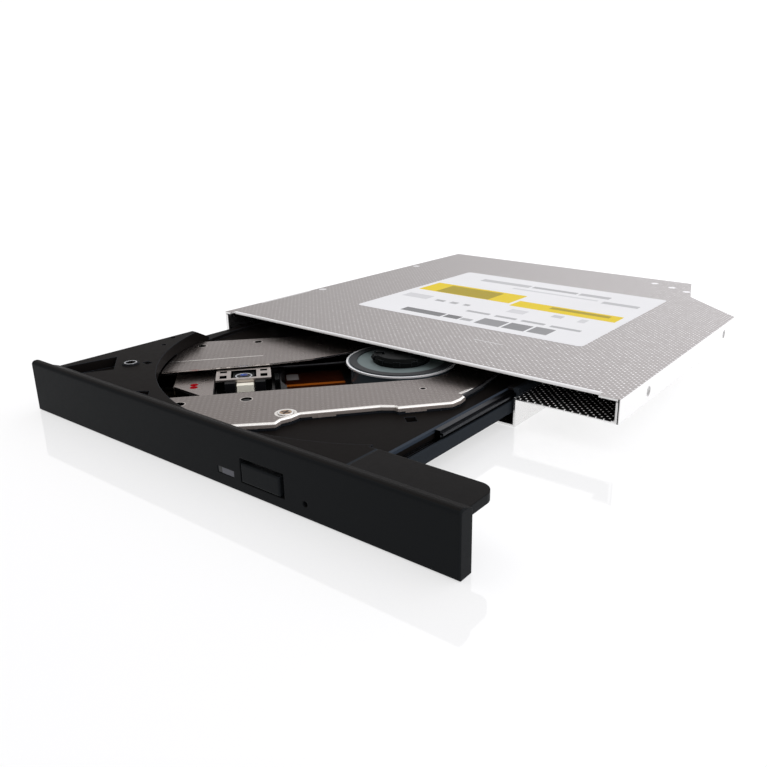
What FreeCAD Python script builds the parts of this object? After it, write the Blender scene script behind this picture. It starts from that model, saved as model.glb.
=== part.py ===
import FreeCAD, Part
import math
import os
import re
import Sketcher

# Slim internal disc drive with its tray slid partly out, in millimetres.
# X runs to the right, Y to the back and Z up. The origin is the middle of the case's bottom face.

Vector = FreeCAD.Vector
doc = FreeCAD.newDocument("disc_drive")
sheet = doc.addObject("Spreadsheet::Sheet", "size")

SIZES = {
    # steel case
    "case_wide": 128.0, "case_deep": 126.4, "case_high": 12.7, "skin": 0.5, "skirt_low": 0.8,
    "deep_right": 38.35, "wing_low": 6.9, "right_cut": 39.4, "corner_across": 44.5, "corner_cut": 20.9,
    "rear_right": 38.0, "lip_left_gap": 2.3, "lip_right_gap": 5.1, "lip_back": 1.76, "lip_drop": 0.2,
    "lip_bend": 0.45, "wall_gap": 0.3, "fold_gap": 0.05,
    "right_end": "=case_deep - right_cut", "corner_back": "=case_deep - corner_cut",
    "lip_left": "=case_wide / 2 - lip_left_gap", "lip_right": "=case_wide / 2 - lip_right_gap",
    "side_hole_low": 9.6, "side_hole_front": 17.0, "side_hole_back": 77.0, "side_hole_radius": 0.8,
    "nut_radius": 2.0, "nut_long": 1.2, "nut_clearance": 1.2,
    # boards
    "board_low": 2.2, "board_thick": 0.8, "rear_board_deep": 7.8, "board_side_gap": 0.2, "standoff_in": 3.0,
    "standoff_radius": 1.4, "rear_board_front": "=case_deep - rear_board_deep",
    "plug_in": 28.0, "plug_across": "=plug_in - case_wide / 2", "plug_half": 11.0, "plug_high": 5.0,
    "plug_window_gap": 0.5,
    # tray and bezel
    "tray_out": 55.9, "tray_side_gap": 3.1, "tray_left": "=case_wide / 2 - tray_side_gap",
    "tray_right": 34.9, "tray_front": 0.6, "tray_rear_gap": 0.7,
    "tray_back": "=rear_board_front - tray_rear_gap",
    "tray_low": 1.4, "tray_wall": 1.2, "floor_top": 7.0, "floor_thick": 1.2, "rim_gap": 0.9,
    "rim_top": "=case_high - rim_gap", "strip_wide": 4.3, "rim_left": "=tray_left - strip_wide",
    "ramp_front": 38.1, "ramp_back": 45.2, "strip_top": 8.0, "disc_radius": 60.4,
    "spindle_across": 1.76, "spindle_back": 59.12, "traverse_turn": 229.0,
    "bezel_left_gap": 0.9, "bezel_left": "=case_wide / 2 - bezel_left_gap", "bezel_right_gap": 0.8,
    "bezel_right": "=case_wide / 2 - bezel_right_gap", "bezel_thick": 3.4, "bezel_bevel": 0.9,
    "bezel_crest": 1.4, "bezel_end": 2.0, "flange_right_gap": 1.3,
    "flange_right": "=case_wide / 2 - flange_right_gap", "flange_thick": 1.8, "flange_gap": 0.8,
    "flange_top": "=case_high - flange_gap", "flange_low": "=flange_top - flange_thick", "flange_back": 7.6,
    "flange_corner": 3.0, "ridge_thick": 0.9, "ridge_high": 1.0,
    # gutter and slide rails
    "gutter_left": "=tray_right", "gutter_right": 37.2, "gutter_low": 3.4, "gutter_floor": 4.6,
    "gutter_top": 6.3, "gutter_lip": 0.6, "rail_gap": 0.25, "rail_thick": 1.3, "rail_low": 4.8,
    "rail_high": 3.4, "rail_front": 0.2, "rail_short": 19.9, "rail_back": "=tray_back - rail_short",
    "tongue": 0.6, "groove_gap": 0.1, "tongue_reach": 0.8, "left_rail_low": 3.0, "left_rail_high": 3.6,
    "left_rail_thick": 0.8, "guide_front": 2.0, "guide_short": 22.4,
    "guide_back": "=case_deep - guide_short", "guide_thick": 0.6,
    # deck
    "deck_gap": 0.2, "deck_radius": "=disc_radius - deck_gap", "deck_top": 8.7, "deck_thick": 0.4,
    "deck_left": 29.3, "deck_lip": "=deck_top - deck_thick - floor_top", "deck_bend": 0.5,
    "deck_wall": 0.35, "slot_right": 15.4, "hub_gap": 1.2,
    # traverse, measured from the spindle along the path of the lens
    "bay_back": 16.5, "bay_left": 18.0, "bay_right": 23.5, "bay_out": 75.0, "bay_corner": 8.0,
    "bay_slant": 7.0, "chassis_low": 1.85, "chassis_thick": 0.7, "chassis_gap": 0.4,
    "shaft_radius": 1.0, "shaft_high": 4.6, "shaft_right": 15.5, "shaft_left": 14.5,
    "shaft_right_start": 3.0, "shaft_right_end": 61.0, "shaft_left_start": 5.0,
    "shaft_left_end": 70.0, "running_gap": 0.05, "screw_radius": 0.9, "screw_off": 19.9,
    "screw_high": 4.3, "screw_end": 54.0, "motor_radius": 2.6,
    "motor_start": 5.0, "motor_length": 12.5, "lens_out": 40.3, "lens_in": 17.5, "bell_gap": 0.5,
    # spindle
    "bell_radius": 13.3, "bell_low": 3.9, "bell_top": 7.9, "flange_radius": 14.4,
    "hub_hole": "=flange_radius + hub_gap", "flange_under": 8.5, "table_top": 9.1, "pad_inner": 11.6,
    "pad_outer": 13.5, "pad_thick": 0.2, "hub_radius": 7.4, "hub_top": 11.2, "spindle_shaft": 1.0,
    "sleeve_radius": 2.2,
    # button, lamp and release
    "button_left": 12.4, "button_right": 22.9, "button_low": 2.6, "button_top": 6.6,
    "button_proud": 0.2, "opening_left": 12.0, "opening_right": 24.0, "opening_low": 2.4,
    "opening_top": 7.6, "lamp_left": 5.2, "lamp_right": 10.0, "lamp_low": 2.7, "lamp_top": 4.1,
    "pinhole_across": 29.3, "pinhole_high": 3.1, "pinhole_radius": 0.6,
    "pin_across": 31.0, "pin_back": 15.9, "pin_radius": 1.2, "pin_top": 4.6,
    "channel_left": 28.9, "channel_right": 32.8, "lever_across": 24.5, "lever_back": 12.9,
    "lever_low": 3.3, "lever_thick": 1.0,
    # fasteners
    "head_radius": 1.7, "head_thick": 0.4, "thread_radius": 0.8,
}
for row, (alias, value) in enumerate(SIZES.items(), start=1):
    sheet.set(f"A{row}", alias.replace("_", " "))
    sheet.set(f"B{row}", str(value))
    sheet.setAlias(f"B{row}", alias)
doc.recompute()


def bound(formula):
    """A formula of plain names, pointed at the sheet's cells."""
    return re.sub(r"[a-z]+(?:_[a-z]+)*", lambda m: f"size.{m[0]}" if m[0] in SIZES else m[0], str(formula))


def value(name):
    """What the sheet works out for a name."""
    return float(sheet.get(name))


CLOSED = "-case_deep / 2"
OUT = f"{CLOSED} - tray_out"
FRAMES = {
    "case": ("0", CLOSED, "0"),
    "rail": ("0", f"{CLOSED} - tray_out / 2", "0"),
    "tray": ("0", OUT, "0"),
    "traverse": ("spindle_across", f"{OUT} + spindle_back", "traverse_turn"),
    "sled": (
        "spindle_across + lens_out * cos(traverse_turn)",
        f"{OUT} + spindle_back + lens_out * sin(traverse_turn)",
        "traverse_turn",
    ),
}
TOUCH = 1e-4
bodies = []


def make(label, frame):
    """A body placed in the case, on a slide rail, on the tray or on the pickup's track."""
    body = doc.addObject("PartDesign::Body", label)
    body.Label = label
    across, back, turn = FRAMES[frame]
    body.Placement = FreeCAD.Placement(Vector(), FreeCAD.Rotation(Vector(0, 0, 1), 1))
    body.setExpression("Placement.Base.x", bound(across))
    body.setExpression("Placement.Base.y", bound(back))
    body.setExpression("Placement.Rotation.Angle", bound(turn))
    bodies.append(body)
    return body


def poly(*points):
    """A closed outline of straight sides."""
    def draw(sketch):
        first = sketch.GeometryCount
        count = len(points)
        spots = [(math.cos(2 * math.pi * k / count),
                  math.sin(2 * math.pi * k / count)) for k in range(count)]
        for k, (a, b) in enumerate(spots):
            c, d = spots[(k + 1) % count]
            sketch.addGeometry(Part.LineSegment(Vector(a, b, 0), Vector(c, d, 0)), False)
        for k in range(count):
            following = first + (k + 1) % count
            sketch.addConstraint(Sketcher.Constraint("Coincident", first + k, 2, following, 1))
        for k, (across, up) in enumerate(points):
            for kind, spot, formula in (("DistanceX", spots[k][0], across), ("DistanceY", spots[k][1], up)):
                index = sketch.addConstraint(Sketcher.Constraint(kind, -1, 1, first + k, 1, spot))
                sketch.setExpression(f"Constraints[{index}]", bound(formula))
    return draw


def rect(left, low, right, top):
    """A rectangle."""
    return poly((left, low), (right, low), (right, top), (left, top))


def disc(across, up, radius):
    """A circle."""
    def draw(sketch):
        index = sketch.addGeometry(Part.Circle(Vector(1, 1, 0), Vector(0, 0, 1), 1), False)
        for kind, formula in (("DistanceX", across), ("DistanceY", up)):
            place = sketch.addConstraint(Sketcher.Constraint(kind, -1, 1, index, 3, 1.0))
            sketch.setExpression(f"Constraints[{place}]", bound(formula))
        place = sketch.addConstraint(Sketcher.Constraint("Radius", index, 1.0))
        sketch.setExpression(f"Constraints[{place}]", bound(radius))
    return draw


def sketch_on(body, plane, start, outlines, turned=False):
    """Outlines on one of the body's planes, moved along it to start."""
    sketch = body.newObject("Sketcher::SketchObject", "outline")
    origin = [part for part in body.Origin.OriginFeatures if part.Role == f"{plane}_Plane"]
    sketch.AttachmentSupport = [(origin[0], "")]
    sketch.MapMode = "FlatFace"
    sign = "-" if plane == "XZ" else ""
    sketch.setExpression("AttachmentOffset.Base.z", bound(f"{sign}({start})"))
    if turned:
        sketch.AttachmentOffset = FreeCAD.Placement(Vector(), FreeCAD.Rotation(Vector(0, 0, 1), 1))
        sketch.setExpression("AttachmentOffset.Base.x", bound("spindle_across"))
        sketch.setExpression("AttachmentOffset.Base.y", bound("spindle_back"))
        sketch.setExpression("AttachmentOffset.Rotation.Angle", bound("traverse_turn"))
    for draw in outlines:
        draw(sketch)
    return sketch


def add(body, plane, start, length, *outlines, turned=False):
    """Material from start along the plane's own axis."""
    pad = body.newObject("PartDesign::Pad", "pad")
    pad.Profile = sketch_on(body, plane, start, outlines, turned)
    pad.setExpression("Length", bound(length))
    pad.Reversed = plane == "XZ"
    return pad


def cut(body, plane, start, length, *outlines, turned=False):
    """An opening from start along the plane's own axis."""
    pocket = body.newObject("PartDesign::Pocket", "pocket")
    pocket.Profile = sketch_on(body, plane, start, outlines, turned)
    pocket.setExpression("Length", bound(length))
    pocket.Reversed = plane != "XZ"
    return pocket


def turn(body, *points):
    """A turned piece: a profile of (radius, height) spun about the body's upright axis."""
    spun = body.newObject("PartDesign::Revolution", "turned")
    spun.Profile = sketch_on(body, "XZ", "0", [poly(*points)])
    spun.ReferenceAxis = (spun.Profile[0], ["V_Axis"])
    spun.Angle = 360
    return spun


def round_edges(body, feature, radius, wanted, kind="Fillet"):
    """Round or bevel the straight edges that wanted picks."""
    doc.recompute()
    names = [f"Edge{k}" for k, edge in enumerate(feature.Shape.Edges, 1) if wanted(edge)]
    finish = body.newObject(f"PartDesign::{kind}", kind.lower())
    finish.Base = (feature, names)
    finish.setExpression("Radius" if kind == "Fillet" else "Size", bound(radius))
    return finish


def upright(edge):
    """An edge that stands straight up."""
    box = edge.BoundBox
    return box.ZLength > 0.3 and box.XLength < 1e-6 and box.YLength < 1e-6


def screws(label, frame, spots, under, length, down=True):
    """Cross-recess screws in one node: the head's underside is at under and the shank runs from it."""
    body = make(label, frame)
    head = under if down else f"{under} - head_thick"
    add(body, "XY", head, "head_thick", *[disc(x, y, "head_radius") for x, y in spots])
    shank = f"{under} - {length}" if down else under
    add(body, "XY", shank, length, *[disc(x, y, "thread_radius") for x, y in spots])
    body.Tip.Refine = False
    return body


# Steel case

CASE_OUTLINE = [
    ("-case_wide / 2", "0"), ("case_wide / 2", "0"), ("case_wide / 2", "right_end"),
    ("corner_across", "corner_back"), ("rear_right", "case_deep"), ("-case_wide / 2", "case_deep"),
]
SIDE_HOLES = [
    ("-1", "side_hole_front"), ("-1", "side_hole_back"), ("1", "side_hole_front"), ("1", "side_hole_back"),
]
PLUG_LOW = "board_low + board_thick"
PLUG_WINDOW = rect("plug_across - plug_half - plug_window_gap", f"{PLUG_LOW} - plug_window_gap",
                   "plug_across + plug_half + plug_window_gap", f"{PLUG_LOW} + plug_high + plug_window_gap")


def top_cover():
    """Pressed lid with a deep left skirt, a shallow skirt round the wing and a folded front lip."""
    body = make("top_cover", "case")
    block = add(body, "XY", "skirt_low", "case_high - skirt_low", poly(*CASE_OUTLINE))
    doc.recompute()
    shape = block.Shape
    open_faces = []
    for index, face in enumerate(shape.Faces, 1):
        middle = face.CenterOfMass
        if abs(middle.z - shape.BoundBox.ZMin) < 1e-6 or abs(middle.y - shape.BoundBox.YMin) < 1e-6:
            open_faces.append(f"Face{index}")
    shell = body.newObject("PartDesign::Thickness", "folded_sheet")
    shell.Base = (block, open_faces)
    shell.setExpression("Value", bound("skin"))
    shell.Join = 1
    shell.Reversed = True
    cut(body, "XY", "skirt_low - 1", "wing_low - skirt_low + 1",
        rect("rear_right - skin", "-1", "case_wide / 2 + 1", "case_deep + 1"))
    cut(body, "XY", "case_high - skin - 1", "skin + 2", rect("-lip_left", "-1", "lip_right", "lip_back"))
    lip = add(body, "XY", "case_high - skin - lip_drop", "lip_drop + skin",
              rect("-lip_left", "lip_back", "lip_right", "lip_back + skin"))

    def lip_edge(edge):
        box = edge.BoundBox
        along = box.XLength > value("lip_left") and abs(box.YMax - value("lip_back")) < TOUCH
        return along and abs(box.ZMin - value("case_high")) < TOUCH

    round_edges(body, lip, "lip_bend", lip_edge)
    cut(body, "XZ", "case_deep - 1", "2", PLUG_WINDOW)
    for side, span in SIDE_HOLES:
        cut(body, "YZ", f"{side} * case_wide / 2 - 1", "2", disc(span, "side_hole_low", "nut_clearance"))
    return body


def bottom_cover():
    """Bent pan: left wall, floor, right wall of the deep part, wing shelf and wing wall."""
    body = make("bottom_cover", "case")
    left = "-case_wide / 2 + skin"
    right = "case_wide / 2 - skin"
    top = "case_high - skin - wall_gap"
    add(body, "XZ", "0", "case_deep - skin", poly(
        (left, top), (left, "0"), ("deep_right", "0"), ("deep_right", "wing_low"), (right, "wing_low"),
        (right, top), (f"{right} - skin", top), (f"{right} - skin", "wing_low + skin"),
        ("deep_right - skin", "wing_low + skin"), ("deep_right - skin", "skin"),
        (f"{left} + skin", "skin"), (f"{left} + skin", top),
    ))
    add(body, "XZ", "case_deep - 2 * skin", "skin", rect(left, "0", "rear_right - 2 * skin", top))
    nuts = make("side_nuts", "case")
    for side, span in SIDE_HOLES:
        cut(body, "YZ", f"{side} * case_wide / 2 - 1.2", "2.4",
            disc(span, "side_hole_low", "nut_clearance"))
        start = f"{side} * (case_wide / 2 - 2 * skin) - (1 + {side}) / 2 * nut_long"
        add(nuts, "YZ", start, "nut_long", disc(span, "side_hole_low", "nut_radius"),
            disc(span, "side_hole_low", "side_hole_radius"))
    cut(body, "XY", "-1", "case_high + 1", poly(
        ("case_wide / 2 - skin", "right_end - skin - fold_gap"),
        ("corner_across - skin - fold_gap", "corner_back - skin - fold_gap"),
        ("rear_right - skin - fold_gap", "case_deep"), ("case_wide / 2 + 1", "case_deep"),
        ("case_wide / 2 + 1", "right_end - skin - fold_gap"),
    ))
    cut(body, "XZ", "case_deep - 2", "3", PLUG_WINDOW)
    return body


def case_guides():
    """Plastic channels on the case's inner walls, one for each slide rail."""
    right = make("case_guide_right", "case")
    wall = "deep_right - skin"
    rail_right = "gutter_left + rail_gap + rail_thick"
    low = "gutter_top + 2 * groove_gap"
    roof = "rail_low + rail_high + groove_gap"
    tongue_low = "rail_low + rail_high - 1.0"
    inner = "gutter_right - 0.45"
    add(right, "XZ", "guide_front", "guide_back - guide_front", poly(
        (inner, low), (wall, low), (wall, f"{roof} + guide_thick"),
        ("gutter_left + 0.1", f"{roof} + guide_thick"),
        ("gutter_left + 0.1", roof), (inner, roof), (inner, f"{tongue_low} + tongue"),
        (f"{rail_right} + tongue_reach + groove_gap", f"{tongue_low} + tongue"),
        (f"{rail_right} + tongue_reach + groove_gap", f"{tongue_low} - groove_gap"),
        (inner, f"{tongue_low} - groove_gap"),
    ))
    left = make("case_guide_left", "case")
    wall = "-case_wide / 2 + 2 * skin"
    inner = "-tray_left - rail_gap - left_rail_thick - 0.2"
    tongue_low = "left_rail_low + left_rail_high - 1.2"
    add(left, "XZ", "guide_front", "guide_back - guide_front", poly(
        (inner, "left_rail_low - 0.6"), (inner, f"{tongue_low} - groove_gap"),
        (f"{inner} - 0.45", f"{tongue_low} - groove_gap"),
        (f"{inner} - 0.45", f"{tongue_low} + tongue + groove_gap"),
        (inner, f"{tongue_low} + tongue + groove_gap"), (inner, "left_rail_low + left_rail_high + 0.8"),
        (wall, "left_rail_low + left_rail_high + 0.8"), (wall, "left_rail_low - 0.6"),
    ))


def slide_rails():
    """Steel bars that run half as far as the tray, with a tongue in the tray and one in the guide."""
    right = make("slide_rail_right", "rail")
    left_face = "gutter_left + rail_gap"
    right_face = "gutter_left + rail_gap + rail_thick"
    top = "rail_low + rail_high"
    add(right, "XZ", "rail_front", "rail_back - rail_front", poly(
        (left_face, "rail_low"), (right_face, "rail_low"), (right_face, f"{top} - 1.0"),
        (f"{right_face} + tongue_reach", f"{top} - 1.0"),
        (f"{right_face} + tongue_reach", f"{top} - 1.1 + tongue"),
        (right_face, f"{top} - 1.1 + tongue"), (right_face, top), (left_face, top),
        (left_face, "gutter_floor + 0.8 + tongue"),
        (f"{left_face} - tongue_reach - 0.05", "gutter_floor + 0.8 + tongue"),
        (f"{left_face} - tongue_reach - 0.05", "gutter_floor + 0.8"), (left_face, "gutter_floor + 0.8"),
    ))
    left = make("slide_rail_left", "rail")
    inner = "-tray_left - rail_gap"
    outer = f"{inner} - left_rail_thick"
    top = "left_rail_low + left_rail_high"
    add(left, "XZ", "rail_front", "rail_back - rail_front", poly(
        (outer, "left_rail_low"), (inner, "left_rail_low"), (inner, "left_rail_low + 1.4"),
        (f"{inner} + tongue_reach", "left_rail_low + 1.4"),
        (f"{inner} + tongue_reach", "left_rail_low + 1.4 + tongue"),
        (inner, "left_rail_low + 1.4 + tongue"), (inner, top), (outer, top),
        (outer, f"{top} - 1.2 + tongue"), (f"{outer} - 0.5", f"{top} - 1.2 + tongue"),
        (f"{outer} - 0.5", f"{top} - 1.2"), (outer, f"{top} - 1.2"),
    ))


# Tray

def front_reach(side):
    """How far along the lens path the tray's front wall is, at a distance to the side."""
    wall = "tray_front * -1 + tray_wall - spindle_back"
    return f"(({wall} - ({side}) * cos(traverse_turn)) / sin(traverse_turn))"


def bay(gap):
    """The opening that the pickup works in, drawn about the spindle."""
    wall = "-tray_front + tray_wall - spindle_back"
    side_out = f"(({wall} - bay_out * sin(traverse_turn)) / cos(traverse_turn) - {gap})"
    return poly(
        (f"-bay_back + {gap}", f"-bay_left + {gap}"), (f"-bay_back + {gap}", "bay_corner"),
        (f"-bay_slant + {gap}", f"bay_right - {gap}"),
        (f"{front_reach('bay_right')} - 2 * {gap}", f"bay_right - {gap}"),
        (f"bay_out - {gap}", side_out),
        (f"bay_out - {gap}", f"-bay_left + {gap}"),
    )


DECK_SCREWS = [("4.3", "15.5"), ("-7.9", "86.1"), ("23.4", "70.7")]
EARS = [("46", "27.5"), ("52", "-22"), ("-21", "-3")]
COVER_SCREWS = [
    ("-tray_left + 8.9", "tray_back - 5.9"), ("14", "tray_back - 5.9"), ("-tray_left + 4.9", "35"),
]


def tray_frame():
    """Black moulding, open below, with the round disc recess, the pickup bay and a gutter for the rail."""
    body = make("tray_frame", "tray")
    depth = "tray_back + tray_front"
    add(body, "XZ", "-tray_front", depth, poly(
        ("-tray_left", "tray_low"), ("-tray_left", "left_rail_low + 1.4 - groove_gap"),
        ("-tray_left + 0.7", "left_rail_low + 1.4 - groove_gap"),
        ("-tray_left + 0.7", "left_rail_low + 1.4 + tongue + groove_gap"),
        ("-tray_left", "left_rail_low + 1.4 + tongue + groove_gap"), ("-tray_left", "strip_top"),
        ("-rim_left", "strip_top"), ("-rim_left", "rim_top"), ("tray_right", "rim_top"),
        ("tray_right", "gutter_floor + 0.8 + tongue + groove_gap"),
        ("tray_right - 0.7", "gutter_floor + 0.8 + tongue + groove_gap"),
        ("tray_right - 0.7", "gutter_floor + 0.8 - groove_gap"),
        ("tray_right", "gutter_floor + 0.8 - groove_gap"),
        ("tray_right", "gutter_floor"), ("gutter_right - gutter_lip", "gutter_floor"),
        ("gutter_right - gutter_lip", "gutter_top"), ("gutter_right", "gutter_top"),
        ("gutter_right", "gutter_low"), ("tray_right", "gutter_low"), ("tray_right", "tray_low"),
    ))
    add(body, "XZ", "-tray_front", "flange_back + tray_front",
        rect("tray_right - 1", "rim_top - 2.5", "gutter_right", "rim_top"))
    cut(body, "XY", "floor_top", "rim_top", disc("spindle_across", "spindle_back", "disc_radius"))
    cut(body, "YZ", "-tray_left - 1", "16", poly(
        ("ramp_front", "rim_top"), ("ramp_back", "strip_top"), ("spindle_back", "strip_top"),
        ("spindle_back", "rim_top + 1"), ("ramp_front", "rim_top + 1")))
    add(body, "XY", "floor_top", "ridge_high",
        rect("tray_right - ridge_thick", "flange_back + 2", "tray_right", "tray_back - 10"))
    hollow = "floor_top - floor_thick"
    cut(body, "XY", "0", hollow, rect("-tray_left + tray_wall + 0.7", "-tray_front + tray_wall",
                                      "channel_right", "tray_back - tray_wall"))
    cut(body, "XY", "0", "pin_top + 0.4", rect("channel_left", "pin_back - 3", "channel_right",
                                               "tray_back + 1"))
    cut(body, "XY", "0", "rim_top - 2.7", bay("0"), turned=True)
    for x, y in DECK_SCREWS:
        add(body, "XY", "floor_top - floor_thick / 2",
            "deck_top - deck_thick - floor_top + floor_thick / 2",
            disc(x, y, "2.0"))
        cut(body, "XY", "floor_top - floor_thick - 0.1", "4", disc(x, y, "thread_radius"))
    add(body, "XY", "chassis_low + chassis_thick + 1.8",
        f"{hollow} - chassis_low - chassis_thick - 1.8 + 0.1",
        *[disc(x, y, "2.2") for x, y in EARS], turned=True)
    cut(body, "XY", "0", hollow, *[disc(x, y, "thread_radius") for x, y in EARS], turned=True)
    add(body, "XY", "tray_low", f"{hollow} - tray_low + 0.1", *[disc(x, y, "2.0") for x, y in COVER_SCREWS])
    cut(body, "XY", "0", hollow, *[disc(x, y, "thread_radius") for x, y in COVER_SCREWS])
    # front wall: windows for the button, the lamp and the release pin
    cut(body, "XZ", "-tray_front - 0.1", "tray_wall + 1.2",
        rect("opening_left - 1.4", "tray_low + 0.6", "opening_right + 1.4", "opening_top"),
        rect("lamp_left - 0.4", "lamp_low - 0.4", "lamp_right + 0.4", "lamp_top + 0.4"),
        disc("pinhole_across", "pinhole_high", "pinhole_radius + 0.3"))
    cut(body, "XY", "rim_top - 2.4", "3", poly(("-54.7", "-0.3"), ("-52", "11.9"), ("-43.4", "5.5"),
                                               ("-47", "-0.4")))
    cut(body, "XY", "rim_top - 0.8", "1", poly(("-26.1", "-0.3"), ("-23.7", "1.6"), ("-21.5", "-0.3")),
        rect("-42.6", "12.6", "-40.6", "14.2"), disc("-55.3", "30.7", "0.7"), disc("-51.6", "25.2", "0.6"))
    cut(body, "XY", "floor_top - floor_thick - 1", "3", poly(("24.1", "31.8"), ("25.7", "33.6"),
                                                             ("27.8", "31.8"), ("26.3", "30.0")))
    add(body, "XY", "rim_top - 0.1", "0.4", disc("-44.3", "10.6", "2.0"))
    cut(body, "XY", "rim_top - 0.6", "1.5", disc("-44.3", "10.6", "1.2"))
    # notch for the ribbon in the rear wall, and the plunger's slot
    cut(body, "XZ", "tray_back - tray_wall - 1", "3", rect("-13", "0", "13", "4.6"),
        rect("20", "0", "24", "5.9"))
    return body


def bezel():
    """Front panel with a rounded top edge and a flange that closes the wing's mouth."""
    body = make("bezel", "tray")
    front = "-tray_front - bezel_thick"
    plate = add(body, "XZ", front, "bezel_thick", rect("-bezel_left", "0", "bezel_right", "case_high"))
    add(body, "XY", "flange_low", "flange_top - flange_low",
        rect("gutter_right", "-tray_front - 0.5", "flange_right", "flange_back"))
    doc.recompute()
    solid = body.Tip
    low = solid.Shape.BoundBox

    def top_front(edge):
        box = edge.BoundBox
        level = abs(box.ZMin - low.ZMax) < TOUCH and abs(box.YMin - low.YMin) < TOUCH
        return box.XLength > value("bezel_left") and level

    def front_frame(edge):
        box = edge.BoundBox
        on_front = abs(box.YMin - low.YMin) < 1e-4 and abs(box.YMax - low.YMin) < 1e-4
        side = box.XLength < 1e-4 or abs(box.ZMax - low.ZMin) < 1e-4
        return on_front and side

    def flange_end(edge):
        box = edge.BoundBox
        return upright(edge) and abs(box.YMin - low.YMax) < TOUCH and box.XMin > value("gutter_right") + 1

    rounded = round_edges(body, solid, "bezel_bevel", top_front)
    chamfered = round_edges(body, rounded, "0.3", front_frame, "Chamfer")
    round_edges(body, chamfered, "flange_corner", flange_end)
    cut(body, "YZ", "-bezel_left - 1", "bezel_left + bezel_right + 2", poly(
        (f"{front} + bezel_crest", "case_high"), ("-tray_front", "flange_top"), ("1", "flange_top"),
        ("1", "case_high + 1"),
        (f"{front} + bezel_crest", "case_high + 1")))
    cut(body, "XY", "strip_top + 0.1", "case_high", rect("-bezel_left - 1", f"{front} + bezel_end",
                                                         "-rim_left - 0.1", "1"))
    cut(body, "XY", "-1", "case_high + 2", rect("-bezel_left - 1", f"{front} + bezel_end",
                                                "-tray_left - 0.2", "1"))
    cut(body, "XZ", f"{front} - 0.1", "bezel_thick + 0.2",
        rect("opening_left", "opening_low", "opening_right", "opening_top"),
        rect("lamp_left", "lamp_low", "lamp_right", "lamp_top"),
        disc("pinhole_across", "pinhole_high", "pinhole_radius"))
    return body


def button_group():
    """Eject button with its side lugs, and the switch plunger that it carries."""
    body = make("eject_button", "tray")
    front = "-tray_front - bezel_thick - button_proud"
    cap = add(body, "XZ", front, "bezel_thick + button_proud + 0.9",
              rect("button_left", "button_low", "button_right", "button_top"))

    def face_edge(edge):
        return edge.BoundBox.YMax - cap.Shape.BoundBox.YMin < 1e-4

    round_edges(body, cap, "0.35", face_edge)
    add(body, "XZ", "-tray_front + 0.1", "0.8", rect("opening_left - 1.1", "button_low + 0.2",
                                                     "opening_right + 1.1", "5.5"))
    plunger = make("switch_plunger", "tray")
    middle = "(button_left + button_right) / 2"
    add(plunger, "XZ", "-tray_front + 0.9", "2.7", disc(middle, "4.2", "0.5"))
    window = make("lamp_window", "tray")
    add(window, "XZ", "-tray_front - bezel_thick + 0.1", "bezel_thick + 0.9",
        rect("lamp_left", "lamp_low", "lamp_right", "lamp_top"))
    return body


def front_board():
    """Small board behind the bezel with the switch, the lamp and the latch solenoid."""
    top = "board_low + board_thick"
    board = make("front_board", "tray")
    add(board, "XY", "board_low", "board_thick", poly(
        ("0", "1.2"), ("channel_left - 0.4", "1.2"), ("channel_left - 0.4", "47"), ("25.4", "47")))
    cut(board, "XY", "0", "5", disc("lever_across", "lever_back", "1.3"))
    switch = make("eject_switch", "tray")
    middle = "(button_left + button_right) / 2"
    add(switch, "XY", top, "3.4 - board_thick", rect(f"{middle} - 2.2", "2.0", f"{middle} + 2.2", "5.2"))
    cut(switch, "XZ", "1.9", "2.2", disc(middle, "4.2", "0.62"))
    lamp = make("activity_lamp", "tray")
    add(lamp, "XY", top, "1.6", rect("6.6", "1.3", "8.8", "2.9"))
    solenoid = make("latch_solenoid", "tray")
    add(solenoid, "XY", top, "2.5", rect("8", "7.5", "16", "14.5"))
    add(solenoid, "YZ", "16", "2.2", disc("11", "4.2", "0.8"))
    lever = make("latch_lever", "tray")
    add(lever, "XY", "lever_low", "lever_thick", poly(
        ("lever_across - 1.9", "lever_back - 1.6"), ("lever_across + 1.6", "lever_back - 1.6"),
        ("lever_across + 2.0", "lever_back + 4.8"), ("lever_across + 3.7", "lever_back + 6.8"),
        ("lever_across + 3.1", "lever_back + 8.1"), ("lever_across - 0.2", "lever_back + 5.6"),
        ("lever_across - 1.9", "lever_back + 1.6"),
    ))
    cut(lever, "XY", "lever_low - 1", "lever_thick + 2", disc("lever_across", "lever_back", "0.85"))
    post = make("lever_post", "tray")
    add(post, "XY", "tray_low", "floor_top - floor_thick - tray_low",
        disc("lever_across", "lever_back", "0.8"))


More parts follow.
